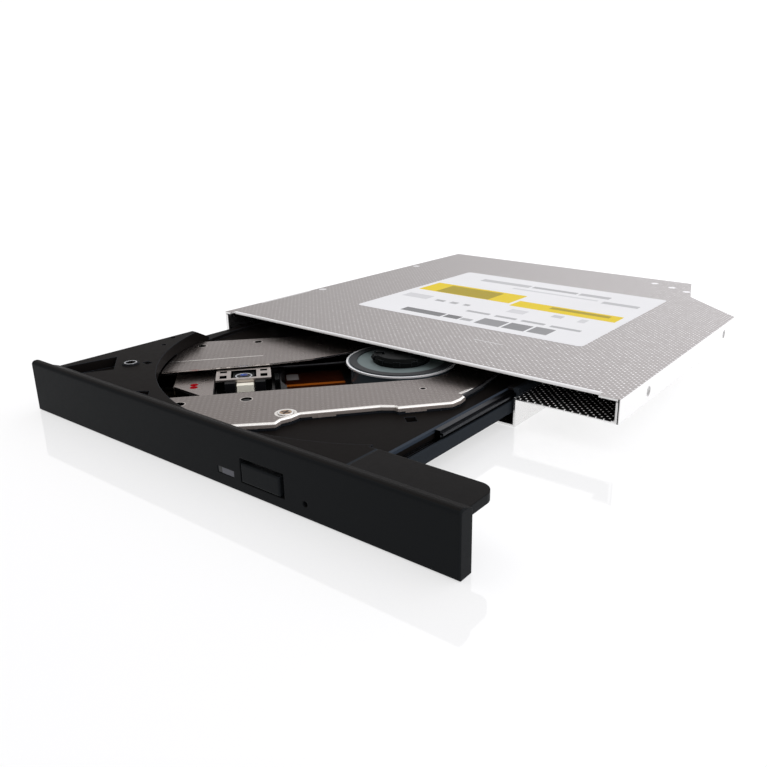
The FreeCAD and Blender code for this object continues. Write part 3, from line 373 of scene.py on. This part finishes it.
# The label's plan as left, front, right and back; each stripe adds its grey.
LABEL = (-37.8, -32.6, 40.2, 32.3)
YELLOW_BARS = ((-35.9, -2.4, 0.2, 10.0), (1.6, -4.6, 37.4, 2.8))
OCHRE_BARS = ((-29.0, -2.0, -8.0, 8.6), (14.0, -1.0, 34.0, 1.6))
STRIPES = (
    (-26.0, 21.4, -6.0, 25.0, 0.55), (-5.0, 22.0, 12.0, 24.6, 0.45), (13.0, 21.6, 24.0, 24.8, 0.50),
    (-10.0, 17.0, 22.0, 18.6, 0.66), (24.0, 15.4, 36.4, 18.4, 0.52),
    (-34.6, -13.6, -24.6, -8.6, 0.66), (-21.4, -13.4, -17.8, -11.4, 0.42), (-15.6, -13.6, -12.8, -11.2, 0.45),
    (-10.4, -13.4, -8.2, -11.4, 0.42), (5.0, -12.4, 11.0, -8.0, 0.68),
    (-5.4, -19.2, 3.0, -17.4, 0.45), (5.0, -19.4, 12.4, -17.6, 0.45), (14.2, -19.6, 22.0, -17.8, 0.45),
    (24.0, -20.0, 33.6, -18.2, 0.45), (19.0, -9.8, 22.6, -6.8, 0.60), (28.0, -10.6, 30.4, -6.6, 0.66),
    (-23.0, -29.2, -8.0, -25.2, 0.22), (-7.2, -28.8, -2.0, -25.4, 0.20), (-1.4, -28.6, 2.4, -26.2, 0.45),
    (4.0, -29.0, 12.4, -22.6, 0.30), (13.2, -28.8, 20.4, -22.4, 0.27), (21.2, -28.4, 27.4, -22.0, 0.30),
)


def label_paper():
    """White paper with plain grey stripes and two yellow bars that are darker in their middles."""
    made = Shader("label_paper", (0.84, 0.84, 0.85), rough=0.5, shine=0.2)

    def bar(left, front, right, back):
        return made.region(x=(left, right), y=(front, back))

    paper = made.blend(made.noise(60, detail=1), (0.82, 0.82, 0.83), (0.86, 0.86, 0.87))
    for *corners, grey in STRIPES:
        paper = made.blend(bar(*corners), paper, (grey, grey, grey * 1.02))
    yellow = made.either(*[bar(*corners) for corners in YELLOW_BARS])
    ochre = made.either(*[bar(*corners) for corners in OCHRE_BARS])
    bar_colour = made.blend(ochre, (0.80, 0.60, 0.004), (0.42, 0.32, 0.01))
    made.drive("Base Color", made.blend(yellow, paper, bar_colour))
    made.drive("Roughness", made.span(made.noise(800), 0.45, 0.6))
    return made


# ------------------------------------------------------------- tray and bezel

def tray_plastic():
    """Black moulding with painted bluish highlights: on the upright walls beside the gutter, brighter on the
    ridge, and on the sharp edges.
    """
    body = (0.0085, 0.0072, 0.0066)
    rough = 0.36
    made = Shader("tray_black", body, rough=rough, shine=0.012)
    edge_highlight = made.soften(0.22)
    made.mottle(rough, spread=0.06, cells=900)
    # Painted highlight: bluish tints on the walls by the gutter, on the ridge and on sharp edges.
    wall = made.region(x=(36.5, None))
    ridge = made.region(x=(33.9, 35.0), y=(-108.5, None), z=(7.3, None))
    skin = made.blend(wall, body, (0.021, 0.025, 0.030))
    skin = made.blend(ridge, skin, (0.036, 0.046, 0.062))
    made.drive("Base Color", made.blend(edge_highlight, skin, (0.034, 0.042, 0.054)))
    return made


def bezel_plastic():
    """Charcoal panel; faces that look up take a warmer tint, painted light."""
    made = plastic("bezel_charcoal", (0.0092, 0.0103, 0.0113), 0.42, grain=0.2, edge=0.4, shine=0.03)
    facing = made.tree.nodes.new("ShaderNodeNewGeometry")
    parts = made.tree.nodes.new("ShaderNodeSeparateXYZ")
    made.link(facing.outputs["Normal"], parts.inputs[0])
    # Painted light: a warmer tint on faces that look up.
    up = made.above(parts.outputs["Z"], 0.8)
    made.drive("Base Color", made.blend(up, (0.0100, 0.0110, 0.0120), (0.0092, 0.0084, 0.0080)))
    return made


def lamp_plastic():
    """Smoked window with a paler right part."""
    made = plastic("smoked_window", (0.02, 0.022, 0.026), 0.15, grain=0.02, edge=0.1, shine=0.3)
    pale = made.region(x=(6.4, None))
    made.drive("Base Color", made.blend(pale, (0.010, 0.011, 0.013), (0.075, 0.078, 0.095)))
    return made


# ----------------------------------------------------------- deck and spindle

BEND = in_tray((-5.0, -1.2), (0.3, 4.2), (6.6, 10.4), (6.0, 12.6), (6.7, 14.9), (6.7, 17.2), (18.0, 30.9),
               (20.7, 32.7), (21.8, 32.5), (29.9, 42.1), (30.2, 45.0), (29.9, 46.9), (28.8, 48.0),
               (28.5, 56.0))
BEND_HALF = 0.42
DECK_TABS = ((8.6, 11.9), (23.1, 26.2))
DECK_LINE = (deck_place(59.9, -11.9), deck_place(35.2, -12.6))
DECK_WEDGE = ((28.0, -71.4), (28.3, -66.4))
DECK_HOLES = in_tray((-50.9, 36.8, 1.0), (-41.7, 48.7, 1.0), (-9.0, 16.1, 1.2), (-18.6, 5.1, 1.2),
                     (19.1, 45.4, 0.6))
DECK_SCREWS = in_tray((4.3, 15.5), (-7.9, 86.1), (23.4, 70.7))
FRONT_SCREW = DECK_SCREWS[0]


def deck_steel():
    """Brushed plate with low dots that carry painted glints; painted highlights along the tops of its bends
    in front, on a pressed line, on a small wedge and on a ring round the front screw; painted shade in its
    holes, ringed by painted highlight. Its turned-down edge has a painted highlight along its top over a
    pinkish band, is painted dark grey as shade further back, and near black as painted shade low under the
    plate."""
    edge_low, fold_low, under_low = 8.4, 7.65, 7.3
    hole_glint_reach, hole_shade_reach = 0.28, 0.05
    made = steel("deck_steel", (0.30, 0.27, 0.25), 0.26)
    raised = made.dots(DOT_PITCH, 0.5)
    made.bump(raised, 0.18, depth=0.05)
    # Painted glints: raised dots in noisy patches turn paler.
    dot_glints = made.both(made.above(raised, 0.35), made.noise(900, detail=1))
    face = made.blend(dot_glints, (0.245, 0.212, 0.195), (0.36, 0.325, 0.305))

    # Painted highlights: a ring round the front screw, the pressed line, the tops of the bends in front and a
    # small wedge.
    ring = made.between(made.distance(FRONT_SCREW), 1.85, 2.4)
    pressed = made.line(*DECK_LINE, 0.16)
    bends = [made.line(first, last, BEND_HALF) for first, last in zip(BEND, BEND[1:])]
    outside = made.region(y=(None, -72.0))
    bend_highlight = made.both(made.either(*bends), outside)
    wedge = made.line(*DECK_WEDGE, 0.4)
    face = made.blend(made.either(ring, pressed, bend_highlight, wedge), face, (0.98, 0.95, 0.90))

    # Turned-down edge: painted highlight along its top, pinkish below, painted shade further back and near
    # black under the fold.
    low = made.region(z=(None, edge_low))
    tabs = made.either(*[made.region(x=ends, y=(None, -75)) for ends in DECK_TABS])
    under_fold = made.both(made.region(z=(None, fold_low)), made.invert(tabs))
    shade = made.either(under_fold, made.region(z=(None, under_low)))
    edge = made.blend(low, (0.99, 0.97, 0.93), (0.36, 0.31, 0.28))
    edge = made.blend(outside, (0.10, 0.10, 0.105), edge)
    edge = made.blend(shade, edge, (0.016, 0.019, 0.024))

    skin = made.blend(made.region(z=(DECK_FACE, None)), edge, face)
    # Painted shade in each hole, inside a ring of painted highlight.
    for across, back, radius in DECK_HOLES:
        skin = made.blend(made.disc((across, back), radius + hole_glint_reach), skin, (0.62, 0.57, 0.53))
        skin = made.blend(made.disc((across, back), radius + hole_shade_reach), skin, (0.008, 0.008, 0.008))
    made.drive("Base Color", skin)
    made.drive("Metallic", made.span(low, 1.0, 0.25))
    return made


def screw_head():
    """Plated screw: brass-coloured middle and, on the front screw, a painted highlight on the outer edge."""
    made = steel("screw_brass", (0.66, 0.50, 0.36), 0.25)
    # Painted highlight: the outer part of the front screw's head turns near white.
    outer = made.between(made.distance(FRONT_SCREW), 1.35, 3)
    made.drive("Base Color", made.blend(outer, (0.50, 0.36, 0.24), (0.98, 0.97, 0.95)))
    return made


def rotor_metal():
    """Polished rotor with a painted near-white highlight round its outer rim; the turntable between the hub
    and the friction ring is matte blue grey.
    """
    made = steel("rotor_metal", (0.55, 0.57, 0.60), 0.2)
    table_radius, table_low = 11.65, 8.9
    rim_radius, rim_low = 13.9, 8.7
    away = made.distance(SPINDLE)
    table = made.both(made.below(away, table_radius), made.region(z=(table_low, None)))
    # Painted highlight: the outer rim turns near white.
    rim = made.both(made.above(away, rim_radius), made.region(z=(rim_low, None)))
    skin = made.blend(rim, (0.075, 0.095, 0.11), (0.99, 0.99, 1.0))
    made.drive("Base Color", made.blend(table, skin, (0.16, 0.20, 0.20)))
    made.drive("Roughness", made.span(table, 0.25, 0.6))
    made.drive("Metallic", made.span(rim, 0.3, 0.55))
    return made


# --------------------------------------------------------------------- pickup

def cover_steel():
    """Brushed cover of the sled with two red paint dots."""
    body = (0.34, 0.30, 0.28)
    paint_places = (deck_place(52.2, 1.5), deck_place(52.2, 3.4))
    made = steel("sled_cover_steel", body, 0.28, brush=0.3, turn=LENS_TURN)
    paint = made.either(*[made.disc(place, 0.95) for place in paint_places])
    made.drive("Base Color", made.blend(paint, body, (0.26, 0.002, 0.006)))
    made.drive("Metallic", made.invert(paint))
    made.drive("Specular IOR Level", made.span(paint, 0.5, 0.0))
    return made


def actuator_steel():
    """Pressed frame, painted near black as shade inside its windows, behind and below its top, but for a pale
    tab in front.
    """
    body = (0.50, 0.45, 0.42)
    top_low, front_low, foot_high = 7.88, 7.45, 5.3
    made = steel("actuator_steel", body, 0.3)
    along, side = made.track()
    tab = made.between(along, 37.6, 42.6)
    inside = made.both(made.between(along, 34.05, 46.55), made.between(side, -5.55, 2.95),
                       made.region(z=(None, top_low)))
    front = made.both(made.above(side, 3.35), made.region(z=(None, front_low)), made.invert(tab))
    # Painted shade: these parts of the frame turn near black.
    dark = made.either(inside, made.region(z=(None, foot_high)), front, made.below(side, -4.75))
    made.drive("Base Color", made.blend(dark, body, (0.008, 0.008, 0.008)))
    return made


def lens_glass():
    """Coated lens: blue pupil with a paler painted highlight in a dark seat."""
    off = -0.35
    pupil_radius, highlight_radius = 1.05, 0.4
    made = Shader("lens_glass", (0.004, 0.02, 0.16), rough=0.08, shine=0.15)
    pupil = made.disc(deck_place(LENS_ALONG, off), pupil_radius)
    # Painted highlight: a paler spot just off the pupil's middle.
    lens_highlight = made.disc(deck_place(LENS_ALONG + 0.2, off), highlight_radius)
    eye = made.blend(lens_highlight, (0.003, 0.022, 0.20), (0.02, 0.16, 0.60))
    made.drive("Base Color", made.blend(pupil, (0.01, 0.012, 0.016), eye))
    return made


def amber_film():
    """Flexible circuit: dark reddish copper lanes with a painted amber highlight along the front edge and a
    pale tab.
    """
    made = Shader("amber_film", (0.03, 0.006, 0.002), rough=0.28, shine=0.1)
    lane_half, lane_gap = 0.55, 0.36
    along, side = made.track()
    lane = made.above(made.math("PINGPONG", side, lane_half), lane_gap)
    edge = made.between(side, -4.6, -3.2)
    tab = made.both(made.between(along, 26.4, 29.6), made.between(side, -12.9, -8.2))
    skin = made.blend(lane, (0.016, 0.003, 0.001), (0.045, 0.010, 0.003))
    # Painted highlight: a bright amber band along the front edge.
    skin = made.blend(edge, skin, (0.30, 0.075, 0.008))
    made.drive("Base Color", made.blend(tab, skin, (0.34, 0.32, 0.31)))
    return made


# ----------------------------------------------------------- boards and coils

def board_green():
    """Green circuit board with faint tracks."""
    made = Shader("board_green", (0.015, 0.09, 0.035), rough=0.35)
    tracks = made.noise(1500, detail=4, stretch=(1, 4, 1))
    made.drive("Base Color", made.blend(tracks, (0.01, 0.06, 0.025), (0.03, 0.14, 0.05)))
    return made


def copper_wire():
    """Copper windings with fine turns."""
    made = Shader("copper_wire", (0.72, 0.30, 0.12), metal=1.0, rough=0.3)
    made.bump(made.noise(4000, detail=1, stretch=(1, 1, 6)), 0.6, depth=0.1)
    return made


# ------------------------------------------------------------- who wears what

FINISHES = {
    "lid": lid_steel(),
    "pan": pan_steel(),
    "deck": deck_steel(),
    "under": steel("cover_plate_steel", (0.30, 0.25, 0.18), 0.35, brush=0.2),
    "tray": tray_plastic(),
    "bezel": bezel_plastic(),
    # The rim colours of the button, hub and magnets are painted highlights on sharp edges.
    "button": plastic("button_charcoal", (0.010, 0.0113, 0.0125), 0.38, grain=0.16, edge=0.3, shine=0.04,
                      rim=(0.022, 0.027, 0.033)),
    "hub": plastic("hub_black", (0.0045, 0.005, 0.005), 0.3, edge=0.16, shine=0.02, rim=(0.05, 0.055, 0.06)),
    "rubber": plastic("rubber_dark", (0.018, 0.02, 0.022), 0.6, grain=0.2),
    "ivory": plastic("ivory_plastic", (0.96, 0.93, 0.80), 0.4),
    "magnet": plastic("coated_magnet", (0.006, 0.006, 0.007), 0.35, edge=0.14, shine=0.05,
                      rim=(0.04, 0.045, 0.05)),
    "lamp": lamp_plastic(),
    "rail": steel("rail_dark_steel", (0.022, 0.024, 0.028), 0.3, brush=0.2),
    "chassis": steel("chassis_steel", (0.02, 0.02, 0.021), 0.4),
    "shaft": steel("ground_shaft", (0.62, 0.62, 0.64), 0.2),
    # Painted shade: the guide shafts are near-black steel, as if lying in the bay's shade.
    "shaded_shaft": steel("shaft_painted_shade", (0.035, 0.035, 0.037), 0.25),
    "nut": plastic("plated_nut", (0.96, 0.96, 0.95), 0.5),
    "sled": steel("cast_sled", (0.015, 0.015, 0.016), 0.45),
    "cover": cover_steel(),
    "frame": actuator_steel(),
    "brass": screw_head(),
    "rotor": rotor_metal(),
    "copper": copper_wire(),
    "lens": lens_glass(),
    "board": board_green(),
    "film": amber_film(),
    "label": label_paper(),
    "recess": plastic("recess_dark", (0.05, 0.03, 0.02), 0.5),
    "silver": steel("lens_ring_silver", (0.55, 0.57, 0.60), 0.2),
}

WEARS = {
    "lid": ("top_cover",),
    "pan": ("bottom_cover",),
    "deck": ("deck_plate",),
    "under": ("tray_bottom_cover",),
    "tray": ("tray_frame", "case_guide_right", "case_guide_left", "plunger_carrier"),
    "bezel": ("bezel",),
    "button": ("eject_button", "switch_plunger", "latch_lever"),
    "hub": ("clamp_hub", "hub_claw_1", "hub_claw_2", "hub_claw_3", "lens_holder", "feed_nut", "eject_plunger",
            "sata_connector", "controller_chips", "laser_unit"),
    "rubber": ("chassis_dampers", "turntable_pad"),
    "ivory": ("tray_flex_socket", "main_flex_socket", "suspension_block"),
    "magnet": ("actuator_magnets",),
    "lamp": ("lamp_window", "activity_lamp"),
    "rail": ("slide_rail_right", "slide_rail_left", "eject_switch", "latch_solenoid", "lever_post",
             "chassis_screws", "cover_screws", "latch_pin"),
    "chassis": ("traverse_chassis", "feed_brackets"),
    "shaft": ("feed_motor", "feed_screw", "eject_spring"),
    "nut": ("side_nuts",),
    "shaded_shaft": ("guide_shaft_front", "guide_shaft_rear"),
    "sled": ("sled_base",),
    "cover": ("sled_cover",),
    "frame": ("actuator_frame",),
    "brass": ("deck_screws", "spindle_base"),
    "rotor": ("spindle_rotor",),
    "copper": ("stator_coils",),
    "lens": ("objective_lens",),
    "board": ("front_board", "tray_board", "main_board"),
    "film": ("main_flex", "pickup_flex"),
}

for finish, names in WEARS.items():
    for name in names:
        materials = NODES[name].data.materials
        materials.clear()
        materials.append(FINISHES[finish].material)


# ---------------------------------------------------- builders of added pieces

def piece(name, body, finish, build):
    """A new piece whose place is in its mesh; with a body it rides on that."""
    mesh = bpy.data.meshes.new(name)
    made = bmesh.new()
    build(made)
    bmesh.ops.recalc_face_normals(made, faces=made.faces)
    made.to_mesh(mesh)
    made.free()
    mesh.materials.append(FINISHES[finish].material)
    item = bpy.data.objects.new(name, mesh)
    bpy.context.scene.collection.objects.link(item)
    if body:
        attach(item, body)
    return item


def block(made, low, high, place=Matrix.Identity(4)):
    """Adds a box between two corners, set by a matrix."""
    middle = (Vector(low) + Vector(high)) / 2 * MM
    size = Matrix.Diagonal((*(Vector(high) - Vector(low)) * MM, 1))
    bmesh.ops.create_cube(made, size=1.0, matrix=place @ Matrix.Translation(middle) @ size)


def turned_frame(across, back, height, turn):
    """Matrix of a frame turned about the upright axis."""
    return Matrix.Translation(Vector((across, back, height)) * MM) @ Matrix.Rotation(turn, 4, "Z")


def sheet(left, front, right, back, low, thick, corner):
    """Builder of a flat sheet with round corners."""
    def build(made):
        block(made, (left, front, low), (right, back, low + thick))
        upright = [edge for edge in made.edges
                   if abs(edge.verts[0].co.z - edge.verts[1].co.z) > thick * MM / 2]
        bmesh.ops.bevel(made, geom=upright, offset=corner * MM, offset_type="OFFSET", affect="EDGES",
                        segments=5, profile=0.5, material=-1)
    return build


def cross(across, back, top, reach, width):
    """Builder of a thin cross that lies in a screw's head."""
    turn, half_thick = 0.3, 0.02
    corner = Vector((reach / 2, width / 2, half_thick))

    def build(made):
        for quarter in (0, 1):
            block(made, -corner, corner, turned_frame(across, back, top, turn + quarter * math.pi / 2))
    return build


def ring(across, back, low, inner, outer, high):
    """Builder of a flat ring."""
    def build(made):
        profile = [(inner, low), (outer, low), (outer, low + high), (inner, low + high)]
        spots = [made.verts.new(Vector((across + radius, back, height)) * MM) for radius, height in profile]
        sides = [made.edges.new((first, last)) for first, last in zip(spots, spots[1:] + spots[:1])]
        bmesh.ops.spin(made, geom=sides, cent=Vector((across, back, 0)) * MM, axis=(0, 0, 1), angle=math.tau,
                       steps=48, use_merge=True)
    return build


def bars(across, back, turns, low, high, rows):
    """Builder of flat bars, given by their left, front, right and back in frames turned about one place."""
    def build(made):
        for turn in turns:
            for left, front, right, rear in rows:
                block(made, (left, front, low), (right, rear, high), turned_frame(across, back, 0, turn))
    return build


def flex_strip(low, high, folds):
    """Builder of a flat strip between two corners in metres, cut across its length many times."""
    def build(made):
        block(made, Vector(low) / MM, Vector(high) / MM)
        long = [edge for edge in made.edges
                if abs(edge.verts[0].co.y - edge.verts[1].co.y) > (high[1] - low[1]) / 2]
        bmesh.ops.subdivide_edges(made, edges=long, cuts=folds, use_grid_fill=True)
    return build


def coil(low, high, wire, turns):
    """Builder of a spring wound along Y that fills the space between two corners; all sizes in metres."""
    sides, steps_a_turn = 6, 14

    def build(made):
        middle = (Vector(low) + Vector(high)) / 2
        radius = (high[0] - low[0]) / 2 - wire
        first = Matrix.Translation((middle.x + radius, low[1] + wire, middle.z))
        loop = bmesh.ops.create_circle(made, cap_ends=False, segments=sides, radius=wire, matrix=first)
        start = loop["verts"] + list({edge for vert in loop["verts"] for edge in vert.link_edges})
        steps = steps_a_turn * turns
        rise = (high[1] - low[1] - 2 * wire) / steps
        bmesh.ops.spin(made, geom=start, cent=middle, axis=(0, 1, 0), dvec=(0, rise, 0),
                       angle=math.tau * turns, steps=steps, use_duplicate=False)
        bmesh.ops.holes_fill(made, edges=[edge for edge in made.edges if edge.is_boundary], sides=sides)
    return build


# --------------------------------------------------------------- added pieces

piece("lid_label", "case", "label", sheet(*LABEL, low=LID_TOP, thick=0.05, corner=1.4))

flex_low, flex_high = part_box("main_flex")
flex = piece("main_flex_strip", None, "film", flex_strip(flex_low, flex_high, folds=48))
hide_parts("main_flex")
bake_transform(flex)

spring_low, spring_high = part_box("eject_spring")
spring = piece("eject_spring_coil", "tray", "shaft", coil(spring_low, spring_high, wire=0.17 * MM, turns=9))
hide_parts("eject_spring")
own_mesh(spring)

# Dark crosses stand for the screws' cross recesses; their colour is painted shade.
for number, (across, back) in enumerate(DECK_SCREWS, start=1):
    build_cross = cross(across, back, top=8.92, reach=2.0, width=0.45)
    piece(f"deck_screw_cross_{number}", "tray", "recess", build_cross)

lens_at = deck_place(LENS_ALONG, 0)
eyelet_at, boss_at = in_tray((-44.3, 10.6), (25.7, 10.0))
piece("lens_ring", "lens", "silver", ring(*lens_at, low=7.5, inner=1.72, outer=2.1, high=0.12))
piece("tray_eyelet", "tray", "silver", ring(*eyelet_at, low=12.1, inner=1.2, outer=1.5, high=0.05))
piece("tray_boss_ring", "tray", "rubber", ring(*boss_at, low=7.0, inner=0.8, outer=1.25, high=0.12))

# Two dark sheets close the tray's floor where light would come through from below, and stand there as painted
# shade.
SHADE_SHEET = {"low": 1.42, "thick": 0.12, "corner": 0.4}
BAY_CORNER = (-61.4, -107.6, -54.0, -99.4)
BUTTON_POCKET = (10.5, -118.9, 25.5, -116.2)
piece("bay_corner_shade_sheet", "tray", "rubber", sheet(*BAY_CORNER, **SHADE_SHEET))
piece("button_pocket_shade_sheet", "tray", "rubber", sheet(*BUTTON_POCKET, **SHADE_SHEET))

# Bars in the lens's own frame, as left, front, right and back: first the four sides of the face, then the two
# posts beside the lens and the webs that hold them.
FACE_BARS = ((-6.7, -4.7, 6.7, -3.5), (-6.7, 2.3, 6.7, 3.4), (-6.7, -3.5, -6.2, 2.3), (6.2, -3.5, 6.7, 2.3),
             (-4.1, -3.5, -3.1, 2.3), (3.1, -3.5, 4.1, 2.3), (-6.2, -1.2, -4.1, 0.0), (4.1, -1.2, 6.2, 0.0))
piece("actuator_face", "pickup", "frame", bars(*lens_at, (LENS_TURN,), low=7.9, high=7.96, rows=FACE_BARS))

HUB_TOOTH = (7.2, -0.9, 7.62, 0.9)
HUB_TEETH = 10
tooth_turns = [math.tau * (number + 0.3) / HUB_TEETH for number in range(HUB_TEETH)]
piece("hub_teeth", "spindle", "hub", bars(*SPINDLE, tooth_turns, low=9.5, high=10.6, rows=(HUB_TOOTH,)))


# ------------------------------------------------------------- stage and view

def floor_plane():
    """Glossy floor that fades into the white background far away and isn't seen from below."""
    fade_start, fade_end = 190, 350
    reach = 1200
    mesh = bpy.data.meshes.new("floor")
    made = bmesh.new()
    bmesh.ops.create_grid(made, x_segments=1, y_segments=1, size=reach * MM)
    made.to_mesh(mesh)
    made.free()
    item = bpy.data.objects.new("floor", mesh)
    item.location.z = -0.1 * MM
    bpy.context.scene.collection.objects.link(item)

    pale = Shader("floor_white", (0.36, 0.36, 0.362), rough=0.04, shine=0.75)
    pale.set("Emission Color", (1.0, 1.0, 1.0, 1.0))
    path = pale.tree.nodes.new("ShaderNodeLightPath")
    seen = pale.either(path.outputs["Is Camera Ray"], path.outputs["Is Glossy Ray"])
    pale.drive("Emission Strength", pale.span(seen, 0.40, 0.62))

    near = pale.clamp(pale.ramp(pale.distance((0, CASE_FRONT)), fade_end, fade_start))
    below = pale.tree.nodes.new("ShaderNodeNewGeometry").outputs["Backfacing"]
    clear = pale.tree.nodes.new("ShaderNodeBsdfTransparent")
    mix = pale.tree.nodes.new("ShaderNodeMixShader")
    pale.link(pale.both(near, pale.invert(below)), mix.inputs[0])
    pale.link(clear.outputs[0], mix.inputs[1])
    pale.link(pale.shade.outputs[0], mix.inputs[2])
    pale.link(mix.outputs[0], pale.tree.nodes["Material Output"].inputs["Surface"])
    mesh.materials.append(pale.material)


def key_light():
    """Weak square lamp high at the left that aims at the middle of the drive; sizes in metres and watts."""
    place = Vector((-0.5, -0.2, 0.9))
    aim = Vector((0, -0.05, 0))
    data = bpy.data.lights.new("key", "AREA")
    data.shape = "RECTANGLE"
    data.size = data.size_y = 0.5
    data.energy = 1.5
    item = bpy.data.objects.new("key", data)
    item.location = place
    item.rotation_euler = (aim - place).to_track_quat("-Z", "Y").to_euler()
    bpy.context.scene.collection.objects.link(item)


def world_light():
    """Soft light, brighter from the right and the back, and a white background."""
    bright_side = (0.82, 0.57, 0.0)
    dimmest, brightest = 0.38, 1.42
    world = bpy.data.worlds.new("studio")
    world.use_nodes = True
    bpy.context.scene.world = world
    tree = world.node_tree
    link = tree.links.new

    way = tree.nodes.new("ShaderNodeTexCoord")
    dot = tree.nodes.new("ShaderNodeVectorMath")
    dot.operation = "DOT_PRODUCT"
    dot.inputs[1].default_value = bright_side
    link(way.outputs["Generated"], dot.inputs[0])
    level = tree.nodes.new("ShaderNodeMapRange")
    level.interpolation_type = "SMOOTHSTEP"
    for name, value in (("From Min", -1.0), ("From Max", 1.0), ("To Min", dimmest), ("To Max", brightest)):
        level.inputs[name].default_value = value
    link(dot.outputs["Value"], level.inputs["Value"])
    tint = tree.nodes.new("ShaderNodeMix")
    tint.data_type = "RGBA"
    tint.inputs["A"].default_value = (1.0, 0.96, 0.93, 1.0)
    tint.inputs["B"].default_value = (0.99, 0.99, 1.02, 1.0)
    link(level.outputs["Result"], tint.inputs["Factor"])
    soft = tree.nodes["Background"]
    link(tint.outputs["Result"], soft.inputs["Color"])
    link(level.outputs["Result"], soft.inputs["Strength"])

    plain = tree.nodes.new("ShaderNodeBackground")
    plain.inputs["Color"].default_value = (1.0, 1.0, 1.0, 1.0)
    plain.inputs["Strength"].default_value = 1.05
    path = tree.nodes.new("ShaderNodeLightPath")
    mix = tree.nodes.new("ShaderNodeMixShader")
    link(path.outputs["Is Camera Ray"], mix.inputs["Fac"])
    link(soft.outputs[0], mix.inputs[1])
    link(plain.outputs[0], mix.inputs[2])
    link(mix.outputs[0], tree.nodes["World Output"].inputs["Surface"])


def photo_camera():
    """Camera fitted to the photograph, at the front right and a little above; its place is in metres."""
    place = Vector((0.1202311, -0.2087585, 0.0703558))
    azimuth, elevation, roll = (math.radians(angle) for angle in (34.942, 18.993, 0.434))
    forward = Vector((-math.sin(azimuth) * math.cos(elevation), math.cos(azimuth) * math.cos(elevation),
                      -math.sin(elevation)))
    level = Vector((math.cos(azimuth), math.sin(azimuth), 0))
    right = level * math.cos(roll) + level.cross(forward) * math.sin(roll)
    data = bpy.data.cameras.new("photo_camera")
    data.lens = 35.5787
    data.sensor_width = 36.0
    data.shift_x = -0.08218
    data.shift_y = -0.01202
    data.clip_start = 0.01
    item = bpy.data.objects.new("photo_camera", data)
    turned = Matrix((right, right.cross(forward), -forward)).transposed()
    item.matrix_world = Matrix.Translation(place) @ turned.to_4x4()
    bpy.context.scene.collection.objects.link(item)
    bpy.context.scene.camera = item


floor_plane()
world_light()
key_light()
photo_camera()

view = bpy.context.scene.view_settings
view.view_transform = "Standard"
